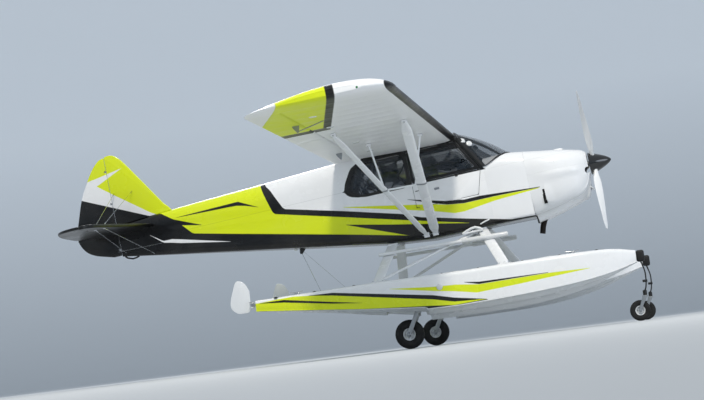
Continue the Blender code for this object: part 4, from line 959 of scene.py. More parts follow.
def ovalPlug(name, centre, width, height, depth):
    rings = []
    for share in (-0.5, 0.5):
        ring = []
        for step in range(28):
            angle = 2 * math.pi * step / 28
            a, b = width / 2 * math.cos(angle), height / 2 * math.sin(angle)
            ring.append(Vector(centre) + Vector((depth * share, a, b)))
        rings.append(ring)
    return extrudeThrough(name, rings)


def scoopRing(name, profile, front, material):
    # An oval ring in the chin scoop's mouth, leaned back a little
    ring = ringClosed(name, profile, atOrigin, 36, "X")
    for vertex in ring.data.vertices:
        x, y, z = vertex.co
        vertex.co = (front + x - 0.1 * z * 0.4, y * 0.092, cowl["scoopZ"] + z * 0.046)
    fitted(ring, material)


def makeCowl():
    upper = cowlHalf("cowlUpperSkin", upperCowlRing)
    lower = cowlHalf("cowlLowerSkin", lowerCowlRing)
    for side in (-1, 1):
        slot = boxPiece("slot", (2.572, side * 0.36 - 0.06, -0.39), (2.5992, side * 0.36 + 0.06, -0.215), 0)
        cutBy(lower, slot, tangled=True)
        inlet = ovalPlug("inlet", (3.12, side * 0.165, -0.085), 0.105, 0.085, 0.3)
        cutBy(lower, inlet, tangled=True)
    cutBy(lower, ovalPlug("scoopHole", (3.15, 0.0, cowl["scoopZ"]), 0.17, 0.075, 0.16), tangled=True)
    fitted(upper, cowlCoat, "cowl_upper")
    fitted(lower, cowlCoat, "cowl_lower")
    # A near-black sheet behind the inlets: painted shade inside the cowl
    inletShade = boxPiece("inletPaintedShade", (2.98, -0.2, -0.33), (2.99, 0.2, 0.1), 0.003)
    fitted(inletShade, paintedShadeBlack)
    for side, mark in ((1, "L"), (-1, "R")):
        # Near-black sheets in the cheek slots: painted shade in their recesses
        dark = boxPiece("slotPaintedShade" + mark, (2.565, side * 0.345 - 0.008, -0.4),
                        (2.606, side * 0.345 + 0.008, -0.205), 0.002)
        fitted(dark, paintedShadeBlack)
    scoopRing("scoopLip", [(1.0, -0.01), (1.0, 0.01), (0.9, 0.014), (0.88, 0.0), (0.9, -0.01)], 3.158,
              cowlCoat)
    scoopRing("scoopShadow", [(0.9, 0.004), (0.86, 0.0), (0.6, -0.004), (0.6, 0.0)], 3.152, paintedShadeBlack)
    blister = turned("cowlTopBlister", [(0.0, 0.026), (0.02, 0.025), (0.038, 0.018), (0.05, 0.006),
                                        (0.055, -0.01)],
                     atOrigin, 32, "Z")
    blister.data.transform(Matrix.Translation((2.84, 0.0, max(v.z for v in upperCowlRing(2.84)) - 0.002))
                           @ Matrix.Diagonal((1.5, 1.0, 0.8, 1.0)))
    fitted(blister, cowlCoat)


makeCowl()
print("cowl is closed")


# Exhaust stub under the cowl, and the breather beside it
exhaust = {
    "pipe": ((2.56, -0.06, -0.5), (2.5, -0.065, -0.585), (2.465, -0.07, -0.66), (2.44, -0.07, -0.745)),
    "breather": ((2.5, 0.12, -0.52), (2.47, 0.12, -0.62), (2.44, 0.12, -0.665)),
    "radius": 0.036, "wall": 0.002, "breatherRadius": 0.009,
}


def makeExhaust():
    pipe = tube("exhaustStub", exhaust["pipe"], exhaust["radius"], 24, sideways, False)
    facedOut(pipe)
    walled(pipe, exhaust["wall"])
    fitted(pipe, burntSteel)
    fitted(tube("breatherPipe", exhaust["breather"], exhaust["breatherRadius"]), burntSteel)


makeExhaust()


# Propeller and spinner
propeller = {
    "tipX": 3.482, "baseX": 3.205, "spinnerRadius": 0.146, "bladeX": bladeX, "angles": (0, 120, 240),
    # Columns: radius, chord, thickness, twist from the disc in degrees
    "blade": ((0.14, 0.058, 0.054, 66.0), (0.17, 0.062, 0.05, 60.0), (0.26, 0.105, 0.03, 50.0),
              (0.5, 0.14, 0.018, 34.0), (0.8, 0.12, 0.013, 23.0), (0.98, 0.08, 0.008, 18.0),
              (1.015, 0.035, 0.006, 17.0)),
}


def bladeRing(radius):
    chord, thickness, twist = (curvedBetween(propeller["blade"], radius, column) for column in (1, 2, 3))
    turn = math.radians(twist)
    flat = 0.35 * smoothStep(radius, 0.17, 0.3)
    ring = []
    for step in range(28):
        angle = 2 * math.pi * step / 28
        u = chord / 2 * math.cos(angle)
        v = thickness / 2 * math.sin(angle) * (1 - flat * (0.5 - 0.5 * math.cos(angle)))
        ring.append(Vector((propeller["bladeX"] + u * math.sin(turn) + v * math.cos(turn), radius,
                            u * math.cos(turn) - v * math.sin(turn))))
    return ring


def makePropeller():
    shell = []
    for step in range(29):
        share = (step / 28) ** 1.7
        x = propeller["tipX"] - (propeller["tipX"] - propeller["baseX"]) * share
        shell.append((max(propeller["spinnerRadius"] * share ** 0.62, 0.0), x))
    shell += [(propeller["spinnerRadius"], 3.2055), (0.13, 3.205), (0.0, 3.205)]
    spinner = turned("spinnerShell", shell, atOrigin, 64, "X")
    facedOut(spinner, True)
    for degrees in propeller["angles"]:
        way = Vector((0.0, math.cos(math.radians(degrees)), math.sin(math.radians(degrees))))
        start = Vector((propeller["bladeX"], 0.0, 0.0)) + way * 0.085
        rings = [ringAround(start + way * reach, way, ahead, 0.066, 0.066, 28) for reach in (0.0, 0.2)]
        cutBy(spinner, extrudeThrough("rootHole", rings))
    fitted(spinner, spinnerCoat, "spinner", body="propeller")
    blades = []
    radii = stations(0.09, 0.2, 8) + stations(0.22, 0.98, 24) + stations(0.987, 1.015, 6)
    for degrees in propeller["angles"]:
        blade = extrudeThrough("bladePart", [bladeRing(radius) if radius > 0.14 else
                                             [Vector((spot.x, radius, spot.z)) for spot in bladeRing(0.14)]
                                             for radius in radii])
        placed(blade, Matrix.Rotation(math.radians(degrees), 4, "X"))
        blades.append(blade)
    fitted(blades, bladeCoat, "propeller_blades", body="propeller", name="propellerBlades")
    hub = turned("propellerHub", [(0.0, 3.212), (0.055, 3.212), (0.06, 3.216), (0.06, 3.292), (0.052, 3.298),
                                  (0.0, 3.298)], atOrigin, 40, "X")
    facedOut(hub, True)
    fitted(hub, castAlloy, "propeller_blades", body="propeller")


makePropeller()
print("propeller and spinner are turned")


# Wings: ribs under the fabric stand a little proud of it, and the nose is sheet metal
wing = {
    "leadX": 1.635, "chord": 1.6, "rootY": 0.375, "tipY": 5.22, "z": 0.688, "thick": 0.115, "camber": 0.03,
    "dihedral": 1.4, "ribSpacing": 0.305, "sag": 0.0035, "bayInner": 0.45, "bayOuter": 4.9, "split": 2.65,
    "bracket": 0.012, "controlChord": 0.36, "gap": 0.006,
    # Columns: y, chord share, nose set back, thickness share
    "tips": ((0.375, 1.0, 0.0, 1.0), (4.7, 1.0, 0.0, 1.0), (4.96, 1.0, 0.0, 1.0), (5.1, 0.95, 0.03, 0.92),
             (5.18, 0.84, 0.09, 0.7), (5.22, 0.68, 0.17, 0.35)),
}


def foilHeight(share, side):
    peak = 0.4
    if share < peak:
        camber = wing["camber"] / peak ** 2 * (2 * peak * share - share ** 2)
    else:
        camber = wing["camber"] / (1 - peak) ** 2 * (1 - 2 * peak + 2 * peak * share - share ** 2)
    half = 5 * wing["thick"] * (0.2969 * math.sqrt(share) - 0.126 * share - 0.3516 * share ** 2
                                + 0.2843 * share ** 3 - 0.1015 * share ** 4)
    return camber + side * half


def wingSkin(x, side):
    return wing["z"] + wing["chord"] * foilHeight((wing["leadX"] - x) / wing["chord"], side)


hingeShare = 1 - (wing["controlChord"] - 0.03) / wing["chord"]
hingeX = wing["leadX"] - wing["chord"] * hingeShare
hingeZ = (wingSkin(hingeX, 1.0) + wingSkin(hingeX, -1.0)) / 2
noseRadius = (wingSkin(hingeX, 1.0) - wingSkin(hingeX, -1.0)) / 2
bayX = hingeX + noseRadius + wing["gap"]
bayShare = (wing["leadX"] - bayX) / wing["chord"]
wingRoot = Matrix.Translation((0.0, wing["rootY"], wing["z"]))
wingLift = wingRoot @ Matrix.Rotation(math.radians(wing["dihedral"]), 4, "X") @ wingRoot.inverted()
foilShares = [(1 - math.cos(math.pi * i / 30)) / 2 for i in range(31)]
foilShares = sorted([share for share in foilShares if abs(share - bayShare) > 0.008] + [bayShare])


def ribSag(y):
    # 0 on a rib and 1 in the middle between two
    t = (y - wing["rootY"]) / wing["ribSpacing"] % 1.0
    return min(1.0, 4.5 * t * (1 - t))


def wingRing(y, inBay=False):
    chordShare, back, thick = (curvedBetween(wing["tips"], y, column) for column in (1, 2, 3))
    ring = []
    for side, run in ((1.0, list(reversed(foilShares))), (-1.0, foilShares[1:-1])):
        for share in run:
            sag = wing["sag"] * ribSag(y) * smoothStep(share, 0.1, 0.22) * (1 - smoothStep(share, 0.9, 1.0))
            if inBay and share > bayShare - 0.001:
                edge = foilHeight(bayShare, side)
                middle = (foilHeight(bayShare, 1.0) + foilHeight(bayShare, -1.0)) / 2
                t = (share - bayShare) / (1 - bayShare)
                ring.append(Vector((bayX + 0.02 * math.sin(math.pi * t / 2), y,
                                    wing["z"] + wing["chord"] * (edge + (middle - edge) * t))))
                continue
            x = wing["leadX"] - wing["chord"] * (back + chordShare * share)
            z = wing["z"] + wing["chord"] * (foilHeight(share, side) * thick
                                             + (1 - thick) * 0.012) - side * sag
            ring.append(Vector((x, y, z)))
    return ring


def ribStations(low, high):
    # Close rows on each side of a rib keep the tape's line crisp
    places = {round(low, 4), round(high, 4)}
    rib = 0
    while wing["rootY"] + rib * wing["ribSpacing"] < high:
        y = wing["rootY"] + rib * wing["ribSpacing"]
        for shift in (-0.022, -0.008, 0.008, 0.022, 0.09, 0.1525, 0.215):
            if low + 0.004 < y + shift < high - 0.004:
                places.add(round(y + shift, 4))
        rib += 1
    return sorted(places)


def makeWing():
    rings = [wingRing(y) for y in ribStations(wing["rootY"], wing["bayInner"])]
    rings += [wingRing(y, True) for y in ribStations(wing["bayInner"], wing["bayOuter"])]
    rings += [wingRing(y) for y in ribStations(wing["bayOuter"], 4.99)]
    rings += [wingRing(y) for y in (5.03, 5.07, 5.1, 5.13, 5.155, 5.175, 5.19, 5.203, 5.212, 5.22)]
    skin = extrudeThrough("wingSkin", rings)
    skin.data.transform(wingLift)
    both(skin, "wingSkin", wingCoat, "wing", 40)


def controlRing(y):
    # A round nose on the hinge line, the wing's own skins, and a thin tail
    ring = []
    tail = [1.0 - (1.0 - hingeShare - 0.085) * i / 9 for i in range(10)]
    sag = wing["sag"] * 0.8 * ribSag(y)
    for share in tail:
        drop = sag * (1 - smoothStep(share, 0.93, 1.0))
        ring.append(Vector((wing["leadX"] - wing["chord"] * share, y,
                            wing["z"] + wing["chord"] * foilHeight(share, 1.0) - drop)))
    for step in range(1, 16):
        angle = math.pi / 2 - math.pi * step / 16
        ring.append(Vector((hingeX + noseRadius * math.cos(angle), y, hingeZ + noseRadius * math.sin(angle))))
    for share in reversed(tail[1:]):
        drop = sag * (1 - smoothStep(share, 0.93, 1.0))
        ring.append(Vector((wing["leadX"] - wing["chord"] * share, y,
                            wing["z"] + wing["chord"] * foilHeight(share, -1.0) + drop)))
    return ring


def makeControl(name, node, low, high, body):
    low, high = low + wing["gap"], high - wing["gap"]
    skin = extrudeThrough(name, [controlRing(y) for y in ribStations(low, high)])
    softened(skin, 0.003, 60)
    pinLow, pinHigh = low - wing["gap"] + 0.0004, high + wing["gap"] - 0.0004
    pin = tube("pin", [(hingeX, pinLow, hingeZ), (hingeX, pinHigh, hingeZ)], 0.008)
    skin = joinPieces(skin, pin)
    skin.data.transform(wingLift)
    both(skin, name, wingCoat, node, 40, body=body)


def makeBracket():
    # A hinge bracket between the flap and the aileron
    outline = [(bayX + 0.015, wingSkin(bayX, 1.0) - 0.012), (bayX + 0.015, wingSkin(bayX, -1.0) + 0.012),
               (hingeX - 0.02, hingeZ - 0.018), (hingeX - 0.02, hingeZ + 0.018)]
    plate = outlinePlate("hingeBracket", curvedOutline(outline, 4), wing["split"] - 0.004, wing["split"]
                         + 0.004)
    plate.data.transform(wingLift)
    both(plate, "hingeBracket", gearSteel)


def underWing(x, y):
    spot = wingLift @ Vector((x, y, wingSkin(x, -1.0)))
    return Vector((x, y, spot.z - 0.0003))


makeWing()
makeControl("flapSkin", "flap", wing["bayInner"], wing["split"] - wing["bracket"] / 2, "flap")
makeControl("aileronSkin", "aileron", wing["split"] + wing["bracket"] / 2, wing["bayOuter"], "aileron")
makeBracket()


# What hangs under the wing: inspection covers, control horns and the ailerons' push rods
wingFittings = {"inspectionRadius": 0.044, "inspectionAt": ((0.62, 0.95), (0.62, 1.86), (0.62, 3.38),
                                                            (0.62, 4.3)),
                "hornAt": (1.2, 3.9)}


def makeWingFittings():
    for number, (x, y) in enumerate(wingFittings["inspectionAt"]):
        radius = wingFittings["inspectionRadius"]
        cover = turned("inspectionCover", [(0.0, -0.004), (radius * 0.96, -0.004), (radius, -0.002),
                                           (radius, 0.004)],
                       atOrigin, 32, "Z")
        spot, near = underWing(x, y), underWing(x + 0.05, y)
        tilt = math.atan2(near.z - spot.z, 0.05)
        turn = Matrix.Rotation(-tilt, 4, "Y") @ Matrix.Rotation(math.radians(wing["dihedral"]), 4, "X")
        cover.data.transform(Matrix.Translation(spot + upward * 0.001) @ turn)
        both(cover, f"inspectionCover{number}", strutCoat)
    for number, y in enumerate(wingFittings["hornAt"]):
        # The flap swings far, so its horn stands further aft than the aileron's
        low = underWing(hingeX - (0.02 if number else 0.085), y)
        horn = outlinePlate("controlHorn", curvedOutline(
            [(low.x + 0.03, low.z + 0.012), (low.x - 0.05, low.z + 0.01), (low.x - 0.005, low.z - 0.075),
             (low.x + 0.012, low.z - 0.075)], 4), y - 0.003, y + 0.003)
        both(horn, f"controlHorn{number}", gearSteel, body="aileron" if number else "flap")
        if number:
            front = underWing(0.66, y)
            rod = tube("pushRod", [(low.x + 0.004, y + 0.006, low.z - 0.066), (0.55, y + 0.006, low.z - 0.03),
                                   (0.66, y + 0.006, front.z + 0.004)], 0.006)
            both(rod, "aileronPushRod", gearSteel)


# Lift struts: streamlined tube with a drawn-out tail, forks at both ends
lift = {"foot": Vector((1.085, 0.385, -0.468)), "frontTopX": 1.386, "rearTopX": 0.55, "topY": 2.9,
        "drop": 0.03,
        "frontChord": 0.12, "rearChord": 0.08, "thickness": 0.035, "juryShare": 0.475, "juryRadius": 0.012}


def streamTube(name, start, end, chord, thickness, ends=0.55):
    # The round nose faces ahead. The bar narrows to its forks over the last tenth.
    start, end = Vector(start), Vector(end)
    along = end - start
    rings = []
    for share in (0.0, 0.004, 0.03, 0.06, 0.5, 0.94, 0.97, 0.996, 1.0):
        near = min(share, 1 - share)
        size = ends + (1 - ends) * smoothStep(near, 0.0, 0.06)
        if near < 0.003:
            size *= 0.8
        rings.append(ringAround(start + along * share, along, ahead, chord * size,
                                thickness * (0.7 + 0.3 * size),
                                26, 0.55))
    return extrudeThrough(name, rings)


def padBox(name, spot, reach, top):
    return boxPiece(name, (spot.x - reach[0], spot.y - reach[1], spot.z - 0.012),
                    (spot.x + reach[0], spot.y + reach[1], top), 0.004)


def wingPadTop(spot):
    return min(underWing(spot.x + dx, spot.y + dy).z for dx in (-0.03, 0.03) for dy in (-0.02, 0.02))


def bolt(name, spot, way, radius, length):
    way = Vector(way).normalized() * length / 2
    return tube(name, [spot - way, spot + way], radius, 10)


def makeLiftStruts():
    down = upward * lift["drop"]
    frontTop = underWing(lift["frontTopX"], lift["topY"]) - down
    rearTop = underWing(lift["rearTopX"], lift["topY"]) - down
    frontFoot = lift["foot"] + Vector((0.055, 0.0, 0.0))
    rearFoot = lift["foot"] - Vector((0.06, 0.0, 0.0))
    inner = 0.3605
    for name, node, foot, top, chord in (
            ("liftStrutFront", "lift_strut_front", frontFoot, frontTop, lift["frontChord"]),
            ("liftStrutRear", "lift_strut_rear", rearFoot, rearTop, lift["rearChord"])):
        parts = [streamTube(name, foot, top, chord, lift["thickness"]),
                 padBox("wingPad", top, (0.03, 0.02), wingPadTop(top)),
                 boxPiece("footPad", (foot.x - 0.035, inner, foot.z - 0.03),
                          (foot.x + 0.035, foot.y + 0.02, foot.z + 0.03), 0.005)]
        both(parts, name, strutCoat, node)
        bolts = [bolt("strutBolt", foot + Vector((0.0, 0.012, 0.0)), ahead, 0.008, 0.1),
                 bolt("strutBoltTop", top, sideways, 0.007, 0.058)]
        both(bolts, name + "Bolts", gearSteel)
    juryFront = frontFoot.lerp(frontTop, lift["juryShare"])
    juryRear = rearFoot.lerp(rearTop, lift["juryShare"])
    upFront = underWing(juryFront.x + 0.1, juryFront.y) - Vector((0.0, 0.0, 0.018))
    upRear = underWing(juryRear.x - 0.08, juryRear.y) - Vector((0.0, 0.0, 0.018))
    innerFront = juryFront - Vector((lift["frontChord"] / 2 + lift["juryRadius"] + 0.003, 0.0, 0.0))
    radius = lift["juryRadius"]
    parts = [tube("jury", [juryRear, upRear], radius, 14), tube("jury", [juryRear, innerFront], radius, 14),
             tube("jury", [innerFront, upFront], radius, 14),
             padBox("pad", upRear, (0.03, 0.02), wingPadTop(upRear)),
             padBox("pad", upFront, (0.03, 0.02), wingPadTop(upFront))]
    both(parts, "juryStruts", strutCoat, "lift_strut_rear")
    clamps = []
    for spot, along, chord in ((juryFront, frontTop - frontFoot, lift["frontChord"]),
                               (juryRear, rearTop - rearFoot, lift["rearChord"])):
        way = along.normalized() * 0.016
        rings = [ringAround(spot + way * k, along, ahead, chord * 1.07, lift["thickness"] * 1.18, 26, 0.5)
                 for k in (-1.0, 1.0)]
        clamps.append(softened(extrudeThrough("juryClamp", rings), 0.0015, 60))
    both(clamps, "juryClamps", gearSteel)


makeWingFittings()
makeLiftStruts()
print("wings are braced")


# Tail: fabric over tube frames with round edges, laid out as outlines
tail = {
    "fin": ((-3.0805, 0.5605), (-3.0805, 1.505), (-3.02, 1.515), (-2.95, 1.5), (-2.86, 1.42),
            (-2.63, 1.085), (-2.4, 0.74),
            (-2.34, 0.675), (-2.3, 0.6183)),
    "rudder": ((-3.09, 0.165), (-3.09, 1.5), (-3.17, 1.475), (-3.27, 1.38), (-3.37, 1.235),
               (-3.49, 1.02), (-3.585, 0.755),
               (-3.645, 0.56), (-3.635, 0.43), (-3.56, 0.31), (-3.44, 0.235), (-3.2, 0.165)),
    "stabilizer": ((-2.58, 0.078), (-3.08, 0.0205), (-3.08, 1.6), (-3.02, 1.585), (-2.93, 1.46),
                   (-2.8, 0.95), (-2.6, 0.16)),
    "elevator": ((-3.092, 0.075), (-3.092, 1.6), (-3.19, 1.595), (-3.34, 1.52), (-3.45, 1.35), (-3.53, 1.0),
                 (-3.565, 0.5), (-3.56, 0.36), (-3.5, 0.29), (-3.13, 0.085)),
    "finThickness": 0.05, "rudderThickness": 0.042, "planeThickness": 0.045, "elevatorThickness": 0.036,
    "planeZ": 0.47, "hingeX": -3.1, "rudderLugs": (0.24, 0.5, 0.86, 1.3), "planeLugs": (0.3, 1.2),
}


def tailSurface(name, outline, middle, thickness, plane, corners):
    # A thin slab whose rim is the frame's round edge tube
    points = curvedOutline(outline, 5, corners)
    surface = outlinePlate(name, points, middle - thickness / 2, middle + thickness / 2, plane)
    softened(surface, thickness * 0.42, 60, 4)
    return surface


def lugCuts(surface, spots, plane):
    for spot in spots:
        if plane == "XZ":
            low = (tail["hingeX"] - 0.016, -0.1, spot - 0.006)
            high = (tail["hingeX"] + 0.1, 0.1, spot + 0.0203)
        else:
            low = (tail["hingeX"] - 0.016, spot - 0.0003, tail["planeZ"] - 0.1)
            high = (tail["hingeX"] + 0.1, spot + 0.026, tail["planeZ"] + 0.1)
        cutBy(surface, boxPiece("lugCut", low, high, 0))
    return surface


def makeTail():
    fin = tailSurface("finSkin", tail["fin"], 0.0, tail["finThickness"], "XZ", (0, 1, 8))
    fitted(fin, tailCoat, "fin")
    rudder = tailSurface("rudderSkin", tail["rudder"], 0.0, tail["rudderThickness"], "XZ", (0, 1, 11))
    lugCuts(rudder, tail["rudderLugs"], "XZ")
    fitted(rudder, tailCoat, "rudder", body="rudder_blade")
    hinges = []
    for spot in tail["rudderLugs"]:
        hinges.append(boxPiece("hinge", (tail["hingeX"], -0.008, spot), (-3.06, 0.008, spot + 0.02), 0.002))
        hinges.append(tube("hinge", [(tail["hingeX"], 0.0, spot), (tail["hingeX"], 0.0, spot + 0.02)],
                           0.008, 14))
    fitted(hinges, gearSteel, ("fin", "rear_fuselage"))
    stabilizer = tailSurface("stabilizer", tail["stabilizer"], tail["planeZ"], tail["planeThickness"],
                             "XY", (0, 1, 2))
    both(stabilizer, "stabilizerSkin", blackCoat, "stabilizer")
    elevator = tailSurface("elevator", tail["elevator"], tail["planeZ"], tail["elevatorThickness"], "XY",
                           (0, 1, 9))
    lugCuts(elevator, tail["planeLugs"], "XY")
    other = mirrorCopy(elevator, "elevatorSkinR")
    elevator.name = "elevatorSkinL"
    fitted(elevator, blackCoat, "elevator_left", body="elevators")
    fitted(other, blackCoat, "elevator_right", body="elevators")
    hinges = []
    for spot in tail["planeLugs"]:
        z = tail["planeZ"]
        hinges.append(boxPiece("hinge", (tail["hingeX"], spot, z - 0.008),
                               (-3.06, spot + 0.02, z + 0.008), 0.002))
        hinges.append(tube("hinge", [(tail["hingeX"], spot, z), (tail["hingeX"], spot + 0.02, z)], 0.008, 14))
    both(hinges, "stabilizerHinges", gearSteel, "stabilizer")


# Fittings of the tail: bracing wires, navigation lamp, skid, trim tab, and the rudder's arm and cables
tailFittings = {
    "wire": 0.0028, "fork": 0.0055, "tangZ": (0.4415, 0.4985),
    "upper": ((-3.03, 0.024, 1.0), (-3.02, 1.13, 0.493)),
    "upperFront": ((-2.78, 0.024, 0.98), (-2.9, 1.13, 0.493)),
    "lower": ((-3.0, 0.022, 0.165), (-3.02, 1.13, 0.447)),
    "lowerFront": ((-2.62, 0.055, 0.09), (-2.9, 1.13, 0.447)),
    "lamp": ((0.0, -3.655), (0.006, -3.654), (0.011, -3.648), (0.013, -3.635), (0.013, -3.62)), "lampZ": 0.47,
    "skid": ((-2.86, 0.0, 0.112), (-2.9, 0.0, 0.098), (-2.95, 0.0, 0.094), (-3.02, 0.0, 0.118),
             (-3.05, 0.0, 0.145)),
    "tab": ((-3.528, 0.62, 0.46), (-3.475, 1.02, 0.4805)),
    "arm": ((-3.11, -0.085, 0.215), (-3.11, 0.085, 0.215)),
    "cable": ((-3.11, 0.08, 0.215), (-2.5, 0.092, 0.205)),
}


def makeTailFittings():
    size = tailFittings
    wires = []
    for key in ("upper", "upperFront", "lower", "lowerFront"):
        start, end = (Vector(point) for point in size[key])
        wires.append(tube("wire", [start, end], size["wire"], 8))
        for spot, other in ((start, end), (end, start)):
            way = (other - spot).normalized()
            wires.append(tube("fork", [spot + way * 0.004, spot + way * 0.075], size["fork"], 10))
    low, high = size["tangZ"]
    for end in ("upper", "upperFront"):
        x, y, z = size[end][1]
        wires.append(boxPiece("tang", (x - 0.018, y - 0.012, low), (x + 0.018, y + 0.018, high), 0.002))
    both(wires, "tailWires", polishedSteel)
    lamp = turned("tailLamp", size["lamp"], (0.0, 0.0, size["lampZ"]), 20, "X")
    fitted(lamp, polishedSteel, body="rudder_blade")
    fitted(tube("tailSkid", size["skid"], 0.011), springBlack)
    tab = boxPiece("trimTab", *size["tab"], 0.003)
    fitted(tube("rudderArm", size["arm"], 0.008), springBlack, body="rudder_blade")
    fitted(tab, blackCoat, body="elevators")
    for side, mark in ((1, "L"), (-1, "R")):
        cable = tube("rudderCable" + mark, [(x, side * y, z) for x, y, z in size["cable"]], 0.0025, 8)
        fitted(cable, polishedSteel)


makeTail()
makeTailFittings()
print("tail is covered")


# Floats. Drawn in the ground frame, then moved so that the CAD's middle is at x = 0
groundShift = Matrix.Translation((-groundX, 0.0, 0.0))


def floatBoth(parts, name, material, replaced="", smooth=35, body="airframe"):
    both(parts, name, material, replaced, smooth, body, groundShift)


floats = {
    "y": 1.12, "wellHalf": 0.125, "wellX": (0.56, 1.05), "wellTop": 0.7, "flute": 0.016, "rail": 0.01,
    # Columns: x, half deck, deck z, half beam at the chine, chine z, keel z
    "aft": ((-1.07, 0.07, 0.829, 0.075, 0.7, 0.69), (-0.1, 0.19, 0.846, 0.215, 0.6, 0.555),
            (0.5, 0.255, 0.858, 0.29, 0.53, 0.452), (1.098, 0.29, 0.862, 0.335, 0.478, 0.385)),
    "fore": ((1.104, 0.29, 0.862, 0.34, 0.455, 0.322), (1.5, 0.295, 0.865, 0.34, 0.455, 0.325),
             (2.5, 0.28, 0.895, 0.325, 0.51, 0.372), (3.1, 0.225, 0.905, 0.265, 0.575, 0.49),
             (3.4, 0.16, 0.895, 0.19, 0.635, 0.6), (3.655, 0.08, 0.848, 0.085, 0.712, 0.7)),
}


def floatRing(x, table):
    deck, deckZ, chine, chineZ, keelZ = (curvedBetween(table, x, column) for column in range(1, 6))
    edge = min(0.05, deck * 0.5)
    deep = min(1.0, (chineZ - keelZ) / 0.1)
    half = []
    for step in range(1, 15):
        t = step / 15
        # Two flutes on each side of the keel, with a crease between
        wave = -math.sin(math.pi * 2 * t) if t > 0.5 else math.sin(math.pi * 2 * t)
        half.append((chine * t, keelZ + (chineZ - keelZ) * t + floats["flute"] * deep * abs(wave)))
    rail = floats["rail"]
    half += [(chine - 0.004, chineZ - rail * 0.6), (chine, chineZ - rail * 0.5), (chine, chineZ),
             (chine - 0.006, chineZ + rail * 0.5)]
    top = deckZ - edge * 1.1
    sideTop = deck + (chine - deck) * 0.2
    for step in range(1, 8):
        t = step / 7
        bow = 0.004 * math.sin(math.pi * t)
        half.append((chine - 0.006 + (sideTop - chine + 0.006) * t + bow, chineZ + rail * 0.5
                     + (top - chineZ - rail * 0.5) * t))
    for step in range(1, 7):
        angle = math.pi / 2 * step / 6
        half.append((sideTop - (sideTop - deck + edge) * (1 - math.cos(angle)), top
                     + (deckZ - top) * math.sin(angle)))
    for share in (0.66, 0.33):
        half.append(((deck - edge) * share, deckZ))
    return ([Vector((x, 0.0, keelZ))] + [Vector((x, y, z)) for y, z in half] + [Vector((x, 0.0, deckZ))]
            + [Vector((x, -y, z)) for y, z in reversed(half)])


def floatDeck(x, reach=0.0):
    table = floats["aft"] if x < 1.1 else floats["fore"]
    return max(curvedBetween(table, x + dx, 2) for dx in (-reach, 0.0, reach)) + 0.0003


def makeFloats():
    rings = [floatRing(x, floats["aft"]) for x in stations(-1.07, 1.098, 26)]
    rings += [floatRing(x, floats["fore"]) for x in stations(1.104, 3.3, 26) + stations(3.36, 3.655, 8)]
    hull = extrudeThrough("floatHull", rings)
    well = boxPiece("well", (floats["wellX"][0], -floats["wellHalf"], 0.1),
                    (floats["wellX"][1], floats["wellHalf"], floats["wellTop"]), 0)
    editAll(well)
    bpy.ops.mesh.bevel(offset=0.05, segments=5, affect="EDGES")
    leaveEdit()
    cutBy(hull, well)
    lug = joinPieces(boxPiece("lug", (-1.12, -0.02, 0.76), (-1.05, 0.02, 0.8), 0.003),
                     tube("lug", [(-1.12, 0.0, 0.76), (-1.12, 0.0, 0.8)], 0.02, 24))
    lug.data.transform(Matrix.Translation((0.0, floats["y"], 0.0)))
    floatBoth(lug, "sternLug", gearSteel, "float")
    hull.data.transform(Matrix.Translation((0.0, floats["y"], 0.0)))
    floatBoth(hull, "floatHull", gelcoat, "float", 28)


# Deck gear: the x of each piece, for the cleats also y from the float's middle, and (radius, height) profiles
deckGear = {
    "cleats": ((2.9, 0.0), (-0.55, 0.0)), "plugs": (-0.8, -0.3, 0.2, 1.3, 1.75, 2.3, 2.75, 3.2),
    "hatches": (1.45, 2.62), "grip": (1.17, 1.87), "gripHalf": 0.17, "seams": (0.02, 1.3, 2.05, 2.75),
    "plug": ((0.0, 0.01), (0.01, 0.01), (0.013, 0.007), (0.022, 0.005), (0.025, 0.002), (0.025, -0.004)),
    "hatch": ((0.0, 0.006), (0.105, 0.006), (0.112, 0.009), (0.122, 0.008), (0.128, -0.003)),
    "horn": ((-0.085, 0.036), (-0.06, 0.03), (0.0, 0.025), (0.06, 0.03), (0.085, 0.036)),
    "pivotCap": ((0.0, 0.016), (0.02, 0.015), (0.032, 0.01), (0.038, 0.0), (0.038, -0.03)),
}


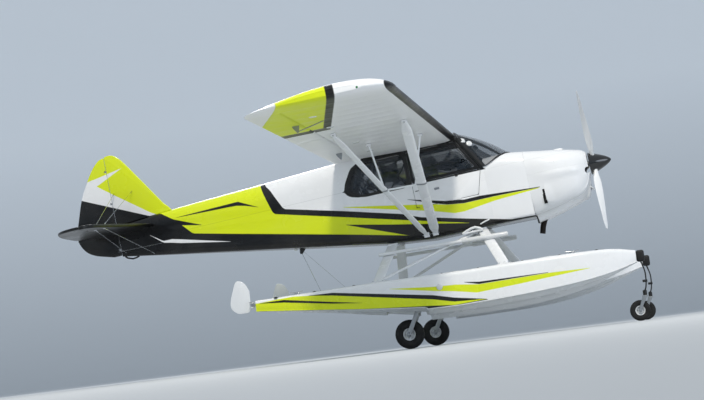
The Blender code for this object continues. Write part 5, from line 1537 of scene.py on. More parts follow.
def makeDeckGear():
    side = floats["y"]
    plugs, hatches, cleats = [], [], []
    for x in deckGear["plugs"]:
        z = floatDeck(x)
        plugs.append(turned("pumpPlug", [(radius, z + rise) for radius, rise in deckGear["plug"]],
                            (x, side + 0.105 * min(1.0, x + 1.6), 0.0), 24, "Z"))
    floatBoth(plugs, "pumpPlugs", springBlack)
    for x in deckGear["hatches"]:
        z = floatDeck(x)
        rim = [(radius, z + rise) for radius, rise in deckGear["hatch"]]
        hatches.append(turned("hatch", rim, (x, side - 0.05, 0.0), 48, "Z"))
        hatches.append(boxPiece("hatchGrip", (x - 0.05, side - 0.058, z + 0.004),
                                (x + 0.05, side - 0.042, z + 0.016), 0.004))
    floatBoth(hatches, "deckHatches", rimCoat)
    for x, y in deckGear["cleats"]:
        z = floatDeck(x, 0.06)
        base = side + y
        cleats.append(boxPiece("cleatFoot", (x - 0.035, base - 0.014, z - 0.006),
                               (x + 0.035, base + 0.014, z + 0.018), 0.005))
        cleats.append(tube("cleatHorn", [(x + dx, base, z + dz) for dx, dz in deckGear["horn"]], 0.008))
    floatBoth(cleats, "deckCleats", polishedSteel)
    rows = [[Vector((x, side + y, floatDeck(x) + 0.0016))
             for y in stations(-deckGear["gripHalf"], deckGear["gripHalf"], 5)]
            for x in stations(*deckGear["grip"], 14)]
    strip = gridSkin("gripStrip", rows, closed=False, capped=False)
    walled(strip, -0.0022)
    floatBoth(strip, "gripStrip", gripSand)
    cap = turned("pivotCap", deckGear["pivotCap"], (1.285, side + 0.322, 0.7), 32)
    floatBoth(cap, "gearPivotCap", rimCoat)
    seams = []
    for x in deckGear["seams"]:
        ring = floatRing(x, floats["aft"] if x < 1.1 else floats["fore"])
        seams.append(tube("seam", [spot + sideways * side for spot in ring[18:-18]], 0.0022, 6))
    floatBoth(seams, "floatSeams", gelcoat)


# Struts between the floats and the fuselage
floatStruts = {"deckY": 1.02, "bellyY": 0.29, "chord": 0.13, "thickness": 0.035, "front": (2.057, 1.72),
               "rear": (0.47, 0.56), "fitting": 0.02, "spreader": 0.044, "stepRadius": 0.022,
               "stepShare": 0.68,
               "stepOver": 0.12, "cabin": ((0.04, -0.385), (0.55, -0.47), (1.06, -0.522), (1.9, -0.52))}
toGround = groundShift.inverted() @ airToWorld


def bellyZ(x):
    table = floatStruts["cabin"]
    found = []
    for dx in (-0.06, 0.0, 0.06):
        for low, high in zip(table, table[1:]):
            if x + dx <= high[0]:
                break
        share = (x + dx - low[0]) / (high[0] - low[0])
        found.append(low[1] + (high[1] - low[1]) * share)
    return min(found) - 0.0003


def strutEnds(pair):
    footX, headX = floatStruts[pair]
    foot = Vector((footX, floatStruts["deckY"], floatDeck(footX, 0.08) + floatStruts["fitting"] / 2))
    head = toGround @ Vector((headX, floatStruts["bellyY"], bellyZ(headX) - floatStruts["fitting"] / 2))
    return foot, head


def makeFloatStruts():
    chord, thickness = floatStruts["chord"], floatStruts["thickness"]
    frames = {}
    for pair in ("front", "rear"):
        foot, head = strutEnds(pair)
        footX, headX = floatStruts[pair]
        leg = streamTube("leg", foot, head, chord, thickness, 0.72)
        top = floatDeck(footX, 0.08)
        deckPad = boxPiece("deckPad", (footX - 0.08, floatStruts["deckY"] - 0.035, top),
                           (footX + 0.08, floatStruts["deckY"] + 0.035, top + 0.02), 0.006)
        under = bellyZ(headX)
        bellyPad = boxPiece("bellyPad", (headX - 0.06, floatStruts["bellyY"] - 0.03, under - 0.02),
                            (headX + 0.06, floatStruts["bellyY"] + 0.03, under), 0.005)
        bellyPad.data.transform(toGround)
        parts = [leg, deckPad, bellyPad]
        if pair == "rear":
            frontX = floatStruts["front"][1]
            lugX = frontX - 0.0603
            lugZ = bellyZ(frontX) - 0.01
            lug = boxPiece("braceLug", (lugX - 0.05, floatStruts["bellyY"] - 0.02, lugZ - 0.037),
                           (lugX, floatStruts["bellyY"] + 0.02, lugZ + 0.006), 0.004)
            lug.data.transform(toGround)
            end = toGround @ Vector((lugX - 0.025, floatStruts["bellyY"] - 0.006, lugZ - 0.022))
            parts += [lug, streamTube("brace", foot + Vector((0.03, -0.012, 0.014)), end, 0.05, 0.03)]
        side = joinPieces(*parts)
        other = mirrorCopy(side, "other")
        barZ = foot.z + 0.014
        reach = floatStruts["deckY"]
        width = floatStruts["spreader"]
        bar = streamTube("spreader", (footX, -reach, barZ), (footX, reach, barZ), width, width, 0.8)
        fitted([side, other, bar], strutCoat, "float_struts_" + pair,
               name="floatStruts" + pair.capitalize(), frame=groundShift)
        frames[pair] = (foot, head)
        bolts = [bolt("deckBolt", Vector((footX + dx, floatStruts["deckY"] + dy, top + 0.018)),
                      (0, 0, 1), 0.008, 0.02)
                 for dx in (-0.06, 0.06) for dy in (-0.022, 0.022)]
        floatBoth(bolts, pair + "DeckBolts", gearSteel)
    centres = []
    for pair in ("rear", "front"):
        foot, head = frames[pair]
        spot = foot.lerp(head, floatStruts["stepShare"])
        along = (head - foot).normalized()
        chordWay = (ahead - along * along.x).normalized()
        centres.append(spot + along.cross(chordWay) * (thickness / 2 + floatStruts["stepRadius"] + 0.0003))
    way = (centres[1] - centres[0]).normalized()
    start, end = centres[0] - way * floatStruts["stepOver"], centres[1] + way * floatStruts["stepOver"]
    radius = floatStruts["stepRadius"]
    rings = []
    for share, size in ((0.0, 0.35), (0.002, 0.75), (0.006, 0.95), (0.012, 1.0), (0.988, 1.0), (0.994, 0.95),
                        (0.998, 0.75), (1.0, 0.35)):
        rings.append(ringAround(start.lerp(end, share), way, upward, radius * 2 * size,
                                radius * 2 * size, 20))
    step = extrudeThrough("boardingStep", rings)
    floatBoth(step, "boardingStep", strutCoat, "boarding_step")
    # A thicker tread sleeve over the step's front, which runs on ahead of the strut
    treadStart, treadEnd = start.lerp(end, 0.7), end + way * 0.13
    rings = []
    for share, size in ((0.0, 0.7), (0.006, 0.95), (0.02, 1.0), (0.97, 1.0), (0.985, 0.93), (0.996, 0.7),
                        (1.0, 0.3)):
        rings.append(ringAround(treadStart.lerp(treadEnd, share), way, upward, radius * 2.9 * size,
                                radius * 2.5 * size, 24))
    floatBoth(extrudeThrough("stepTread", rings), "stepTread", rimCoat)
    # The curved hand step that springs from the front strut's head, with its web
    foot, head = frames["front"]
    arch = [(1.475, -0.556), (1.53, -0.53), (1.59, -0.508), (1.645, -0.503), (1.7, -0.525), (1.735, -0.556)]
    rail = tube("archTube", [Vector((x, 0.385, z)) for x, z in arch], 0.017, 16)
    tie = tube("archTie", [Vector((1.475, 0.385, -0.556)), Vector((1.735, 0.385, -0.556))], 0.014, 14)
    web = tube("archLink", [Vector((1.6, 0.31, -0.535)), Vector((1.605, 0.385, -0.545))], 0.012, 12)
    grab = tube("grabBar", [Vector((1.722, 0.372, -0.476)), Vector((1.78, 0.392, -0.46)),
                            Vector((1.842, 0.374, -0.442))], 0.009, 12)
    both([rail, tie, web, grab], "stepArch", strutCoat)


# Wheels. Tyre and rim profiles are (radius, along the axle)
wheels = {
    "main": {"centre": (0.805, floats["y"], 0.18), "radius": 0.18, "half": 0.0625, "rim": 0.072,
             "axle": 0.016,
             "bolts": 6, "steps": 64},
    "nose": {"centre": (3.62, floats["y"], 0.125), "radius": 0.125, "half": 0.0425, "rim": 0.055,
             "axle": 0.01, "bolts": 5, "steps": 52},
}


def closedSpin(name, profile, centre, steps):
    # A closed profile spun round the axle
    bpy.ops.object.select_all(action="DESELECT")
    bpy.ops.mesh.primitive_circle_add(vertices=len(profile))
    piece = bpy.context.object
    piece.name = name
    for vertex, (radius, along) in zip(piece.data.vertices, profile):
        vertex.co = (radius, along, 0.0)
    editAll(piece)
    bpy.ops.mesh.spin(steps=steps, angle=2 * math.pi, center=atOrigin, axis=(0.0, 1.0, 0.0))
    bpy.ops.mesh.select_all(action="SELECT")
    bpy.ops.mesh.remove_doubles(threshold=0.00002)
    bpy.ops.mesh.normals_make_consistent(inside=False)
    leaveEdit()
    piece.data.transform(Matrix.Translation(centre))
    return piece


def tyreLoop(radius, half, bead):
    deep = radius - bead
    side = []
    for step in range(13):
        t = step / 12
        angle = -0.42 + (math.pi / 2 + 0.42) * t
        side.append((bead + deep * (0.47 + 0.47 * math.sin(angle)), half * (0.6 + 0.4 * math.cos(angle))))
    side[0] = (bead + 0.0003, half * 0.74)
    side[-1] = (radius - deep * 0.03, half * 0.62)
    crown = []
    for share, groove in ((0.56, 0), (0.55, 1), (0.46, 1), (0.45, 0), (0.24, 0), (0.23, 1), (0.14, 1),
                          (0.13, 0)):
        cut = 0.006 * deep / 0.1 if groove else 0.0
        crown.append((radius - deep * 0.028 * (share / 0.56) ** 2 - cut, half * share))
    right = side + crown
    return right + [(r, -a) for r, a in reversed(right)]


def rimLoop(rim, half, bore):
    hub, web = bore + (rim - bore) * 0.34, bore + (rim - bore) * 0.8
    side = [(bore, half * 0.8), (hub - 0.004, half * 0.8), (hub, half * 0.74), (hub + 0.004, half * 0.32),
            (web - 0.004, half * 0.22), (web, half * 0.3), (web + 0.002, half * 0.62),
            (rim - 0.004, half * 0.72),
            (rim + 0.004, half * 0.78), (rim + 0.006, half * 0.745), (rim, half * 0.7)]
    return side + [(r, -a) for r, a in reversed(side)]


def makeWheels():
    for kind, size in wheels.items():
        x, y, z = size["centre"]
        tyre = closedSpin(kind + "Tyre", tyreLoop(size["radius"], size["half"], size["rim"]), (x, y, z),
                          size["steps"])
        rim = closedSpin(kind + "Rim", rimLoop(size["rim"], size["half"], size["axle"] + 0.0005), (x, y, z),
                         size["steps"])
        spread = size["axle"] + (size["rim"] - size["axle"]) * 0.56
        for hole in range(size["bolts"]):
            angle = 2 * math.pi * (hole + 0.5) / size["bolts"]
            spot = Vector((x + spread * math.cos(angle), y, z + spread * math.sin(angle)))
            reach = Vector((0.0, size["half"], 0.0))
            rings = [ringAround(spot + reach * k, reach, ahead, size["rim"] * 0.22, size["rim"] * 0.22, 16)
                     for k in (-1, 1)]
            cutBy(rim, extrudeThrough("lightening", rings))
        nuts = []
        for nut in range(size["bolts"]):
            angle = 2 * math.pi * nut / size["bolts"]
            for way in (-1, 1):
                spot = Vector((x + spread * math.cos(angle), y + way * size["half"] * 0.24,
                               z + spread * math.sin(angle)))
                nuts.append(tube("nut", [spot, spot + sideways * way * 0.01], size["rim"] * 0.062, 6))
        body = kind + "_wheel"
        floatBoth(tyre, kind + "Tyre", tyreRubber, kind + "_tyre", 40, body=body)
        floatBoth(rim, kind + "Rim", rimCoat, kind + "_rim", body=body)
        floatBoth(nuts, kind + "RimBolts", gearSteel, body=body)


# Main legs swing down out of the wells. Nose legs are leaf springs under the bow bumpers
gear = {"pivot": (1.00, 0.56), "casterX": 3.7, "casterZ": 0.3,
        "leaf": ((3.7, 0.74), (3.738, 0.6), (3.742, 0.5), (3.73, 0.4), (3.705, 0.335),
                 (3.69, 0.345), (3.715, 0.405), (3.726, 0.5), (3.722, 0.6), (3.68, 0.74))}


def makeMainLegs():
    size = wheels["main"]
    y = floats["y"]
    side = size["half"] + 0.014
    pivot = Vector((gear["pivot"][0], y, gear["pivot"][1]))
    wheel = Vector(size["centre"])
    parts = []
    for way in (-1.0, 1.0):
        shift = Vector((0.0, way * side, 0.0))
        top, low = pivot + shift, wheel + shift - Vector((0.01, 0.0, 0.02))
        parts.append(extrudeThrough("legPlate", [
            ringAround(top.lerp(low, k), low - top, ahead, w, 0.012, 20)
            for k, w in ((-0.03, 0.03), (0.0, 0.056), (0.1, 0.062), (0.5, 0.05), (0.92, 0.06),
                         (1.0, 0.056), (1.03, 0.03))]))
        boss = wheel + Vector((0.0, way * (side + 0.002), 0.0))
        parts.append(turned("axleNut", [(0.0, way * 0.018), (0.014, way * 0.018), (0.02, way * 0.012),
                                        (0.026, way * 0.006),
                                        (0.026, -way * 0.004)], boss, 24, "Y"))
    reach = Vector((0.0, 0.1247, 0.0))
    parts.append(tube("pivotTube", [pivot - reach, pivot + reach], 0.02, 24))
    axle = Vector((0.0, side + 0.006, 0.0))
    parts.append(tube("axle", [wheel - axle, wheel + axle], size["axle"], 24))
    middle = pivot.lerp(wheel, 0.42) + ahead * 0.03
    parts.append(tube("crossTube", [middle - sideways * side, middle + sideways * side], 0.012, 16))
    floatBoth(parts, "mainLeg", gearSteel, "main_leg")
    ram = [tube("ramBody", [(0.64, y, 0.665), (0.86, y, 0.575)], 0.021, 20),
           tube("ramRod", [(0.85, y, 0.579), (0.915, y, 0.553)], 0.011, 16),
           tube("ramPin", [(0.64, y - 0.06, 0.665), (0.64, y + 0.06, 0.665)], 0.01, 14)]
    floatBoth(ram, "gearRam", polishedSteel)


def makeNoseLegs():
    y = floats["y"]
    bumper = boxPiece("bumper", (3.6553, -0.055, 0.705), (3.75, 0.055, 0.845), 0)
    editAll(bumper)
    bpy.ops.mesh.bevel(offset=0.026, segments=5, affect="EDGES")
    leaveEdit()
    for vertex in bumper.data.vertices:
        vertex.co.y *= 1.0 + 0.1 * math.sin(math.pi * (vertex.co.z - 0.705) / 0.14)
    bumper.data.transform(Matrix.Translation((0.0, y, 0.0)))
    floatBoth(bumper, "bowBumper", bumperRubber, "nose_leg")
    leaf = outlinePlate("leaf", curvedOutline(gear["leaf"], 5, (0, 4, 5, 9)), y - 0.025, y + 0.025)
    softened(leaf, 0.003, 50)
    headRings = [ringAround(Vector((gear["casterX"], y, gear["casterZ"] + dz)), upward, ahead, w, w, 28)
                 for dz, w in ((0.0, 0.046), (0.003, 0.05), (0.052, 0.05), (0.06, 0.04), (0.064, 0.03))]
    head = extrudeThrough("casterHead", headRings)
    clamp = boxPiece("leafClamp", (3.69, y - 0.031, 0.455), (3.748, y + 0.031, 0.485), 0.004)
    floatBoth([leaf, head, clamp], "noseLeg", springBlack, "nose_leg")
    size = wheels["nose"]
    bladeY = size["half"] + 0.01
    wheel = Vector(size["centre"])
    crown = boxPiece("crown", (3.662, y - bladeY - 0.004, 0.284), (3.732, y + bladeY + 0.004, 0.2997), 0.004)
    parts = [crown]
    for way in (-1.0, 1.0):
        top = Vector((3.695, y + way * bladeY, 0.292))
        low = Vector((wheel.x - 0.005, y + way * bladeY, wheel.z - 0.008))
        parts.append(extrudeThrough("forkBlade", [
            ringAround(top.lerp(low, k), low - top, ahead, w, 0.008, 18)
            for k, w in ((0.0, 0.05), (0.15, 0.046), (0.6, 0.036), (0.92, 0.044), (1.0, 0.04),
                         (1.05, 0.022))]))
        parts.append(turned("nut", [(0.0, way * 0.01), (0.008, way * 0.01), (0.013, way * 0.006),
                                    (0.016, way * 0.002),
                                    (0.016, -way * 0.004)], wheel
                            + Vector((0.0, way * (bladeY + 0.004), 0.0)), 20, "Y"))
    reach = Vector((0.0, bladeY + 0.004, 0.0))
    parts.append(tube("axle", [wheel - reach, wheel + reach], size["axle"], 20))
    floatBoth(parts, "noseFork", gearSteel, "nose_fork", body="caster")


# Water rudders behind the sterns, on yokes and pins, with their tillers
waterRudder = {"outline": ((-1.1475, 0.735), (-1.1475, 0.96), (-1.19, 1.05), (-1.25, 1.095),
                           (-1.31, 1.09), (-1.36, 0.98),
                           (-1.4, 0.86), (-1.4, 0.77), (-1.33, 0.7), (-1.23, 0.69), (-1.17, 0.7)),
               "axisX": -1.12, "lugZ": 0.78, "thickness": 0.012}


def makeWaterRudders():
    size = waterRudder
    x, y = size["axisX"], floats["y"]
    blade = outlinePlate("waterBlade", curvedOutline(size["outline"], 5, (0, 1)), y
                         - size["thickness"] / 2, y + size["thickness"] / 2)
    softened(blade, 0.004, 50, 3)
    parts = [blade]
    for low, high in ((0.0203, 0.035), (-0.035, -0.0203)):
        parts.append(boxPiece("yoke", (-1.16, y - 0.018, size["lugZ"] + low),
                              (-1.108, y + 0.018, size["lugZ"] + high), 0.003))
    floatBoth(parts, "waterRudder", strutCoat, "water_rudder", body="water_rudder")
    pin = [tube("pin", [(x, y, 0.742), (x, y, 0.822)], 0.006, 14),
           boxPiece("tiller", (-1.15, y - 0.085, 0.8155), (-1.128, y + 0.085, 0.8215), 0.002)]
    floatBoth(pin, "waterRudderPin", gearSteel, body="water_rudder")


makeFloats()
makeDeckGear()
makeFloatStruts()
makeWheels()
makeMainLegs()
makeNoseLegs()
makeWaterRudders()
print("floats stand on their wheels")


# Cabin: walls with their windows cut, black window frames, glass, and the open tube frame inside
cabin = {
    "half": 0.36, "wall": 0.03, "aftX": 0.04, "frontX": 1.9, "wallTop": 0.69, "doorAft": 0.97, "sill": 0.21,
    "headX": 1.62, "headZ": 0.618, "sillX": 1.86, "glass": 0.0036, "roofFront": 1.6,
    "rearWindow": ((0.13, 0.3), (0.3, 0.21), (0.92, 0.21), (0.92, 0.625), (0.45, 0.625), (0.25, 0.54)),
    "frontWindow": ((1.00, 0.24), (1.81, 0.24), (1.6, 0.618), (1.00, 0.618)),
    "frameWidth": 0.03, "frameProud": 0.003,
}


def roundedOutline(outline, radius, steps=6):
    # Straight runs with an arc at each corner
    made = []
    count = len(outline)
    for i, corner in enumerate(outline):
        here = Vector(corner)
        back, on = Vector(outline[i - 1]) - here, Vector(outline[(i + 1) % count]) - here
        reach = min(radius, back.length * 0.45, on.length * 0.45)
        start, end = here + back.normalized() * reach, here + on.normalized() * reach
        for step in range(steps + 1):
            t = step / steps
            made.append(start * (1 - t) ** 2 + here * 2 * t * (1 - t) + end * t ** 2)
    return made


def grownOutline(points, by):
    # Each point moved out along the mean of its two sides' normals
    points = [Vector(point) for point in points]
    count = len(points)
    area = sum(points[i].x * points[(i + 1) % count].y - points[(i + 1) % count].x * points[i].y
               for i in range(count))
    way = 1.0 if area > 0 else -1.0
    made = []
    for i in range(count):
        along = (points[(i + 1) % count] - points[i - 1]).normalized()
        made.append(points[i] + Vector((along.y, -along.x)) * way * by)
    return made


def frameRing(name, outline, outer, inner, y, proud):
    # A flat ring round an opening, rounded at its edges
    out, into = grownOutline(outline, outer), grownOutline(outline, -inner)
    rows = []
    for points, depth in ((out, 0.0), (out, proud * 0.6), (grownOutline(outline, outer - 0.002), proud),
                          (grownOutline(outline, -inner + 0.002), proud), (into, proud * 0.6),
                          (into, -0.008)):
        rows.append([Vector((point.x, y + math.copysign(depth, y), point.y)) for point in points])
    rows.append(rows[0])
    ring = gridSkin(name, rows, capped=False)
    return facedOut(ring)


def paneSheet(name, outline, y, crown=0.006):
    # A thin clear sheet, sprung outwards a little in its middle
    points = grownOutline(outline, -0.0008)
    centre = sum(points, Vector((0.0, 0.0))) / len(points)
    rows = []
    for share in (1.0, 0.8, 0.6, 0.4, 0.2, 0.02):
        rows.append([Vector((centre.x + (p.x - centre.x) * share, y
                             + math.copysign(crown * (1 - share ** 2), y),
                             centre.y + (p.y - centre.y) * share)) for p in points])
    pane = gridSkin(name, rows)
    return walled(pane, cabin["glass"])


def makeCabinShell():
    # Painted outside; the inner faces of its walls and roof edges carry a dark lining
    shell = cadCopy("cabin_shell", "cabinShell")
    finished(shell, "airframe", topcoat, "cabin_shell")
    shell.data.materials.append(seatCloth)
    inner = cabin["half"] - cabin["wall"]
    for face in shell.data.polygons:
        spot = airToWorld.inverted() @ face.center
        within = abs(spot.y) < inner + 0.004 and spot.z > floorHeight(spot.x) - 0.012
        if within and (abs(spot.y) > 0.05 or face.normal.z > 0.5):
            face.material_index = 1


def makeWindows():
    size = cabin
    rear = roundedOutline(size["rearWindow"], 0.08)
    front = roundedOutline(size["frontWindow"], 0.05)
    pane = size["half"] - size["wall"] / 2
    half = size["half"]
    proud = size["frameProud"]
    for mark, sign, ending in (("L", 1, "left"), ("R", -1, "right")):
        fitted(paneSheet("rearWindowPane" + mark, rear, sign * pane), glazing, "rear_window_" + ending)
        ring = frameRing("rearWindowFrame" + mark, rear, size["frameWidth"], 0.006, sign * half, proud)
        fitted(ring, blackTrim)
    fitted(paneSheet("frontWindowPane", front, pane), glazing, "front_window_left")
    fitted(frameRing("frontWindowFrame", front, size["frameWidth"], 0.006, half, proud), blackTrim)
    slide = [tube("slideRail", [(1.02, half + 0.006, 0.222), (1.78, half + 0.006, 0.222)], 0.004, 8),
             tube("slideRail", [(1.02, half + 0.006, 0.628), (1.6, half + 0.006, 0.628)], 0.004, 8),
             boxPiece("slideGrip", (1.395, half - 0.006, 0.38), (1.415, half + 0.01, 0.46), 0.004)]
    fitted(slide, blackTrim, name="slidingWindowRails")


# Doors: how far the pane stays inside the upper leaf's corners, and the small pieces
doorFittings = {
    "paneInset": ((0.03, 0.03), (-0.049, 0.03), (-0.036, -0.03), (0.03, -0.03)), "paneDepth": 0.013,
    "paneCorner": 0.04, "seal": 0.004, "edge": 0.004,
    "latchPlate": ((1.235, -0.3625, 0.072), (1.3, -0.359, 0.1)),
    "latchHandle": ((1.245, -0.362, 0.086), (1.25, -0.374, 0.086), (1.285, -0.376, 0.084),
                    (1.298, -0.371, 0.083)),
    "doorCatch": ((1.53, -0.3635, 0.18), (1.566, -0.359, 0.194)),
    "ventScoop": ((0.992, -0.3655, 0.104), (1.04, -0.359, 0.114)),
}


def makeDoors():
    size, bits = cabin, doorFittings
    sill = size["sill"] + 0.006
    upper = ((size["doorAft"], sill), (size["sillX"], sill), (size["headX"], size["headZ"]),
             (size["doorAft"], size["headZ"]))
    pane = [(x + dx, z + dz) for (x, z), (dx, dz) in zip(upper, bits["paneInset"])]
    pane = roundedOutline(pane, bits["paneCorner"])
    glass = paneSheet("doorPane", pane, bits["paneDepth"] - size["half"], 0.005)
    fitted(glass, glazing, "door_glass", body="door_upper_leaf")
    dressed("door_upper", blackTrim, bits["edge"])
    dressed("door_lower", cowlCoat, bits["edge"])
    seal = frameRing("doorSeal", pane, bits["seal"], bits["seal"], -size["half"], 0.002)
    fitted(seal, bumperRubber, body="door_upper_leaf")
    latch = [boxPiece("latchPlate", *bits["latchPlate"], 0.0015),
             tube("latchHandle", bits["latchHandle"], 0.005)]
    fitted(latch, gearSteel, body="door_lower_leaf", name="doorLatch")
    for name in ("doorCatch", "ventScoop"):
        fitted(boxPiece(name, *bits[name], 0.002), blackTrim, body="door_lower_leaf")


# Windscreen and roof glass, with the black posts that hold them
def bootHeight(x, y):
    half, bottom, shoulder, crown, square = hullSizes(fuselage["boot"], max(x, 1.9003))
    share = min(abs(y) / half, 1.0)
    return shoulder + (crown - shoulder) * (1 - share ** square) ** (1 / square)


def roofHeight(x, y):
    side = max(wingSkin(x, 1.0), cabin["wallTop"] + 0.014)
    return side + 0.02 * (1 - (y / cabin["half"]) ** 2)


def screenPoint(t, up):
    half = cabin["half"]
    turn = math.sin(math.pi / 2 * t)
    footX = 1.908 + 0.335 * math.cos(math.pi / 2 * t)
    footY = (half - 0.008) * turn
    foot = Vector((footX, footY, bootHeight(footX, footY) + 0.003))
    rise = 1 - abs(turn) ** 4
    head = Vector((cabin["roofFront"] + 0.012 + 0.045 * (1 - rise), (half - 0.004) * turn,
                   0.655 + (roofHeight(cabin["roofFront"], 0.0) - 0.655) * rise))
    bulge = 0.028 * math.sin(math.pi * up) * math.cos(math.pi / 2 * t)
    return foot.lerp(head, up) + Vector((bulge, 0.0, bulge))


def stripAlong(name, points, normals, width, proud):
    # A half-round strip that lies along a line on a surface
    rows = []
    for i, point in enumerate(points):
        along = (points[min(i + 1, len(points) - 1)] - points[max(i - 1, 0)]).normalized()
        up = normals[i].normalized()
        out = along.cross(up).normalized()
        rows.append([point + out * width / 2 * math.cos(a) + up * proud * math.sin(a) for a in
                     [2 * math.pi * k / 14 for k in range(14)]])
    return gridSkin(name, rows)


def makeWindscreen():
    rows = [[screenPoint(t, up) for t in stations(-1.0, 1.0, 33)] for up in stations(0.0, 1.0, 13)]
    screen = gridSkin("windscreenSheet", rows, closed=False, capped=False)
    facedOut(screen)
    walled(screen, cabin["glass"])
    fitted(screen, glazing, "windscreen")
    trims = []
    foot = [screenPoint(t, 0.0) + Vector((0.0, 0.0, 0.001)) for t in stations(-1.0, 1.0, 41)]
    trims.append(stripAlong("footTrim", foot, [Vector((0.5, 0.0, 1.0))] * 41, 0.04, 0.008))
    head = [screenPoint(t, 1.0) for t in stations(-1.0, 1.0, 41)]
    trims.append(stripAlong("headTrim", head, [Vector((0.6, 0.0, 1.0))] * 41, 0.045, 0.009))
    for sign in (-1, 1):
        post = [screenPoint(sign, up) for up in stations(0.0, 1.0, 9)]
        trims.append(stripAlong("postTrim", post, [Vector((0.3, sign * 1.0, 0.2))] * 9, 0.06, 0.012))
        inner = [screenPoint(sign * 0.45, up) - Vector((0.012, 0.0, 0.012)) for up in stations(0.02, 0.98, 9)]
        trims.append(tube("innerPost", inner, 0.011, 12))
    fitted(trims, blackTrim, name="windscreenFrame")
    # White discs on the windscreen's upper corners, set where glints show on it: painted highlights
    glintDiscs = []
    for sign in (-1, 1):
        for t, up in ((0.8, 0.84), (0.73, 0.66)):
            spot = screenPoint(sign * t, up)
            rise = screenPoint(sign * t, up + 0.02) - screenPoint(sign * t, up - 0.02)
            level = screenPoint(sign * (t + 0.02), up) - screenPoint(sign * (t - 0.02), up)
            out = rise.cross(level).normalized()
            out = out if out.z > 0 else -out
            glintDisc = turned("windscreenGlintDisc", [(0.0, 0.012), (0.02, 0.011), (0.034, 0.006), (0.04, -0.004)],
                          atOrigin, 28, "Z")
            glintDisc.data.transform(Matrix.Translation(spot) @ out.to_track_quat("Z", "Y").to_matrix().to_4x4())
            glintDiscs.append(glintDisc)
    fitted(glintDiscs, rimCoat, name="screenGlintDiscs")


def makeRoof():
    rows = []
    for x in stations(cabin["aftX"], cabin["roofFront"], 25):
        row = [Vector((x, 0.36, cabin["wallTop"] + 0.0005))]
        row += [Vector((x, y, roofHeight(x, y) - 0.0005)) for y in stations(0.36, -0.36, 17)]
        row.append(Vector((x, -0.36, cabin["wallTop"] + 0.0005)))
        rows.append(row)
    roof = gridSkin("skylightSheet", rows, closed=False, capped=False)
    facedOut(roof)
    walled(roof, 0.004, False)
    fitted(roof, glazing, "skylight")
    bars = []
    for x in (0.055, 0.42, 0.8, 1.18, 1.585):
        line = [Vector((x, y, roofHeight(x, y) - 0.016)) for y in stations(0.345, -0.345, 13)]
        bars.append(tube("roofBow", line, 0.011, 12))
    for sign in (-1, 1):
        line = [Vector((x, sign * 0.345, roofHeight(x, 0.345) - 0.014)) for x in stations(0.05, 1.59, 15)]
        bars.append(tube("roofRail", line, 0.013, 12))
        strip = [Vector((x, sign * 0.352, roofHeight(x, 0.352) + 0.001)) for x in stations(0.05, 1.6, 15)]
        bars.append(stripAlong("roofStrip", strip, [upward] * 15, 0.03, 0.004))
    aft = [Vector((0.052, y, roofHeight(0.052, y) + 0.0005)) for y in stations(0.355, -0.355, 15)]
    bars.append(stripAlong("roofStrip", aft, [upward] * 15, 0.034, 0.004))
    fitted(bars, blackTrim, name="roofFrame")


# Inside: welded tube frame, seats, panel, stick, floor
inside = {"tube": 0.0105, "longeron": 0.013, "sideY": 0.316, "seatY": 0.185, "railRadius": 0.01}


def makeTubeFrame():
    side = inside["sideY"]
    tubes = []
    for sign in (-1, 1):
        y = sign * side
        runs = (((0.06, 0.655), (0.97, 0.655)), ((0.97, 0.655), (1.6, 0.64)), ((0.06, 0.2), (0.96, 0.2)),
                ((0.1, 0.2), (0.5, 0.655)), ((0.5, 0.2), (0.12, 0.64)), ((0.52, 0.2), (0.92, 0.645)),
                ((0.92, 0.2), (0.52, 0.645)), ((0.51, 0.2), (0.51, 0.655)), ((0.955, -0.47), (0.955, 0.655)),
                ((1.6, 0.64), (1.86, 0.16)), ((0.06, -0.35), (0.955, -0.485)))
        tubes += [tube("frameTube", [(a, y, b), (c, y, d)], inside["tube"], 10) for (a, b), (c, d) in runs]
    for x, z in ((0.955, 0.645), (0.51, 0.645), (0.955, -0.455), (1.6, 0.64)):
        tubes.append(tube("crossTube", [(x, -side, z), (x, side, z)], inside["longeron"], 12))
    tubes.append(tube("crossTube", [(1.6, 0.0, 0.64), (1.93, 0.0, 0.31)], inside["tube"], 12))
    fitted(tubes, blackTrim, name="weldedTubeFrame")


def floorHeight(x):
    for low, high in zip(floatStruts["cabin"], floatStruts["cabin"][1:]):
        if x <= high[0]:
            break
    return low[1] + (high[1] - low[1]) * (x - low[0]) / (high[0] - low[0]) + cabin["wall"]


def cushion(name, low, high, tilt, centre):
    # A pressed pad: a rounded box, fuller in its middle, with two sewn channels
    low, high = Vector(low), Vector(high)
    pad = boxPiece(name, low, high, 0)
    editAll(pad)
    bpy.ops.mesh.subdivide(number_cuts=6)
    leaveEdit()
    middle, reach = (low + high) / 2, (high - low) / 2
    thin = min(range(3), key=lambda axis: reach[axis])
    for vertex in pad.data.vertices:
        share = [(vertex.co[axis] - middle[axis]) / reach[axis] for axis in range(3)]
        others = [share[axis] for axis in range(3) if axis != thin]
        swell = math.sqrt(max(0.0, (1 - others[0] ** 4) * (1 - others[1] ** 4)))
        vertex.co[thin] = middle[thin] + reach[thin] * share[thin] * (0.45 + 0.55 * swell)
        if abs(share[thin]) > 0.5:
            channel = 0.006 * math.exp(-((abs(others[1]) - 0.42) / 0.05) ** 2)
            vertex.co[thin] -= math.copysign(channel, share[thin])
        for axis in range(3):
            if axis != thin:
                pull = 1 - 0.025 * (1 - (max(abs(value) for value in others) - abs(share[axis])) ** 2)
                vertex.co[axis] = middle[axis] + (vertex.co[axis] - middle[axis]) * pull
    smooth = pad.modifiers.new("smooth", "SUBSURF")
    smooth.levels = smooth.render_levels = 2
    applyAll(pad)
    pad.data.transform(Matrix.Translation(centre) @ Matrix.Rotation(tilt, 4, "Y"))
    fitted(pad, seatCloth, ())
    return pad


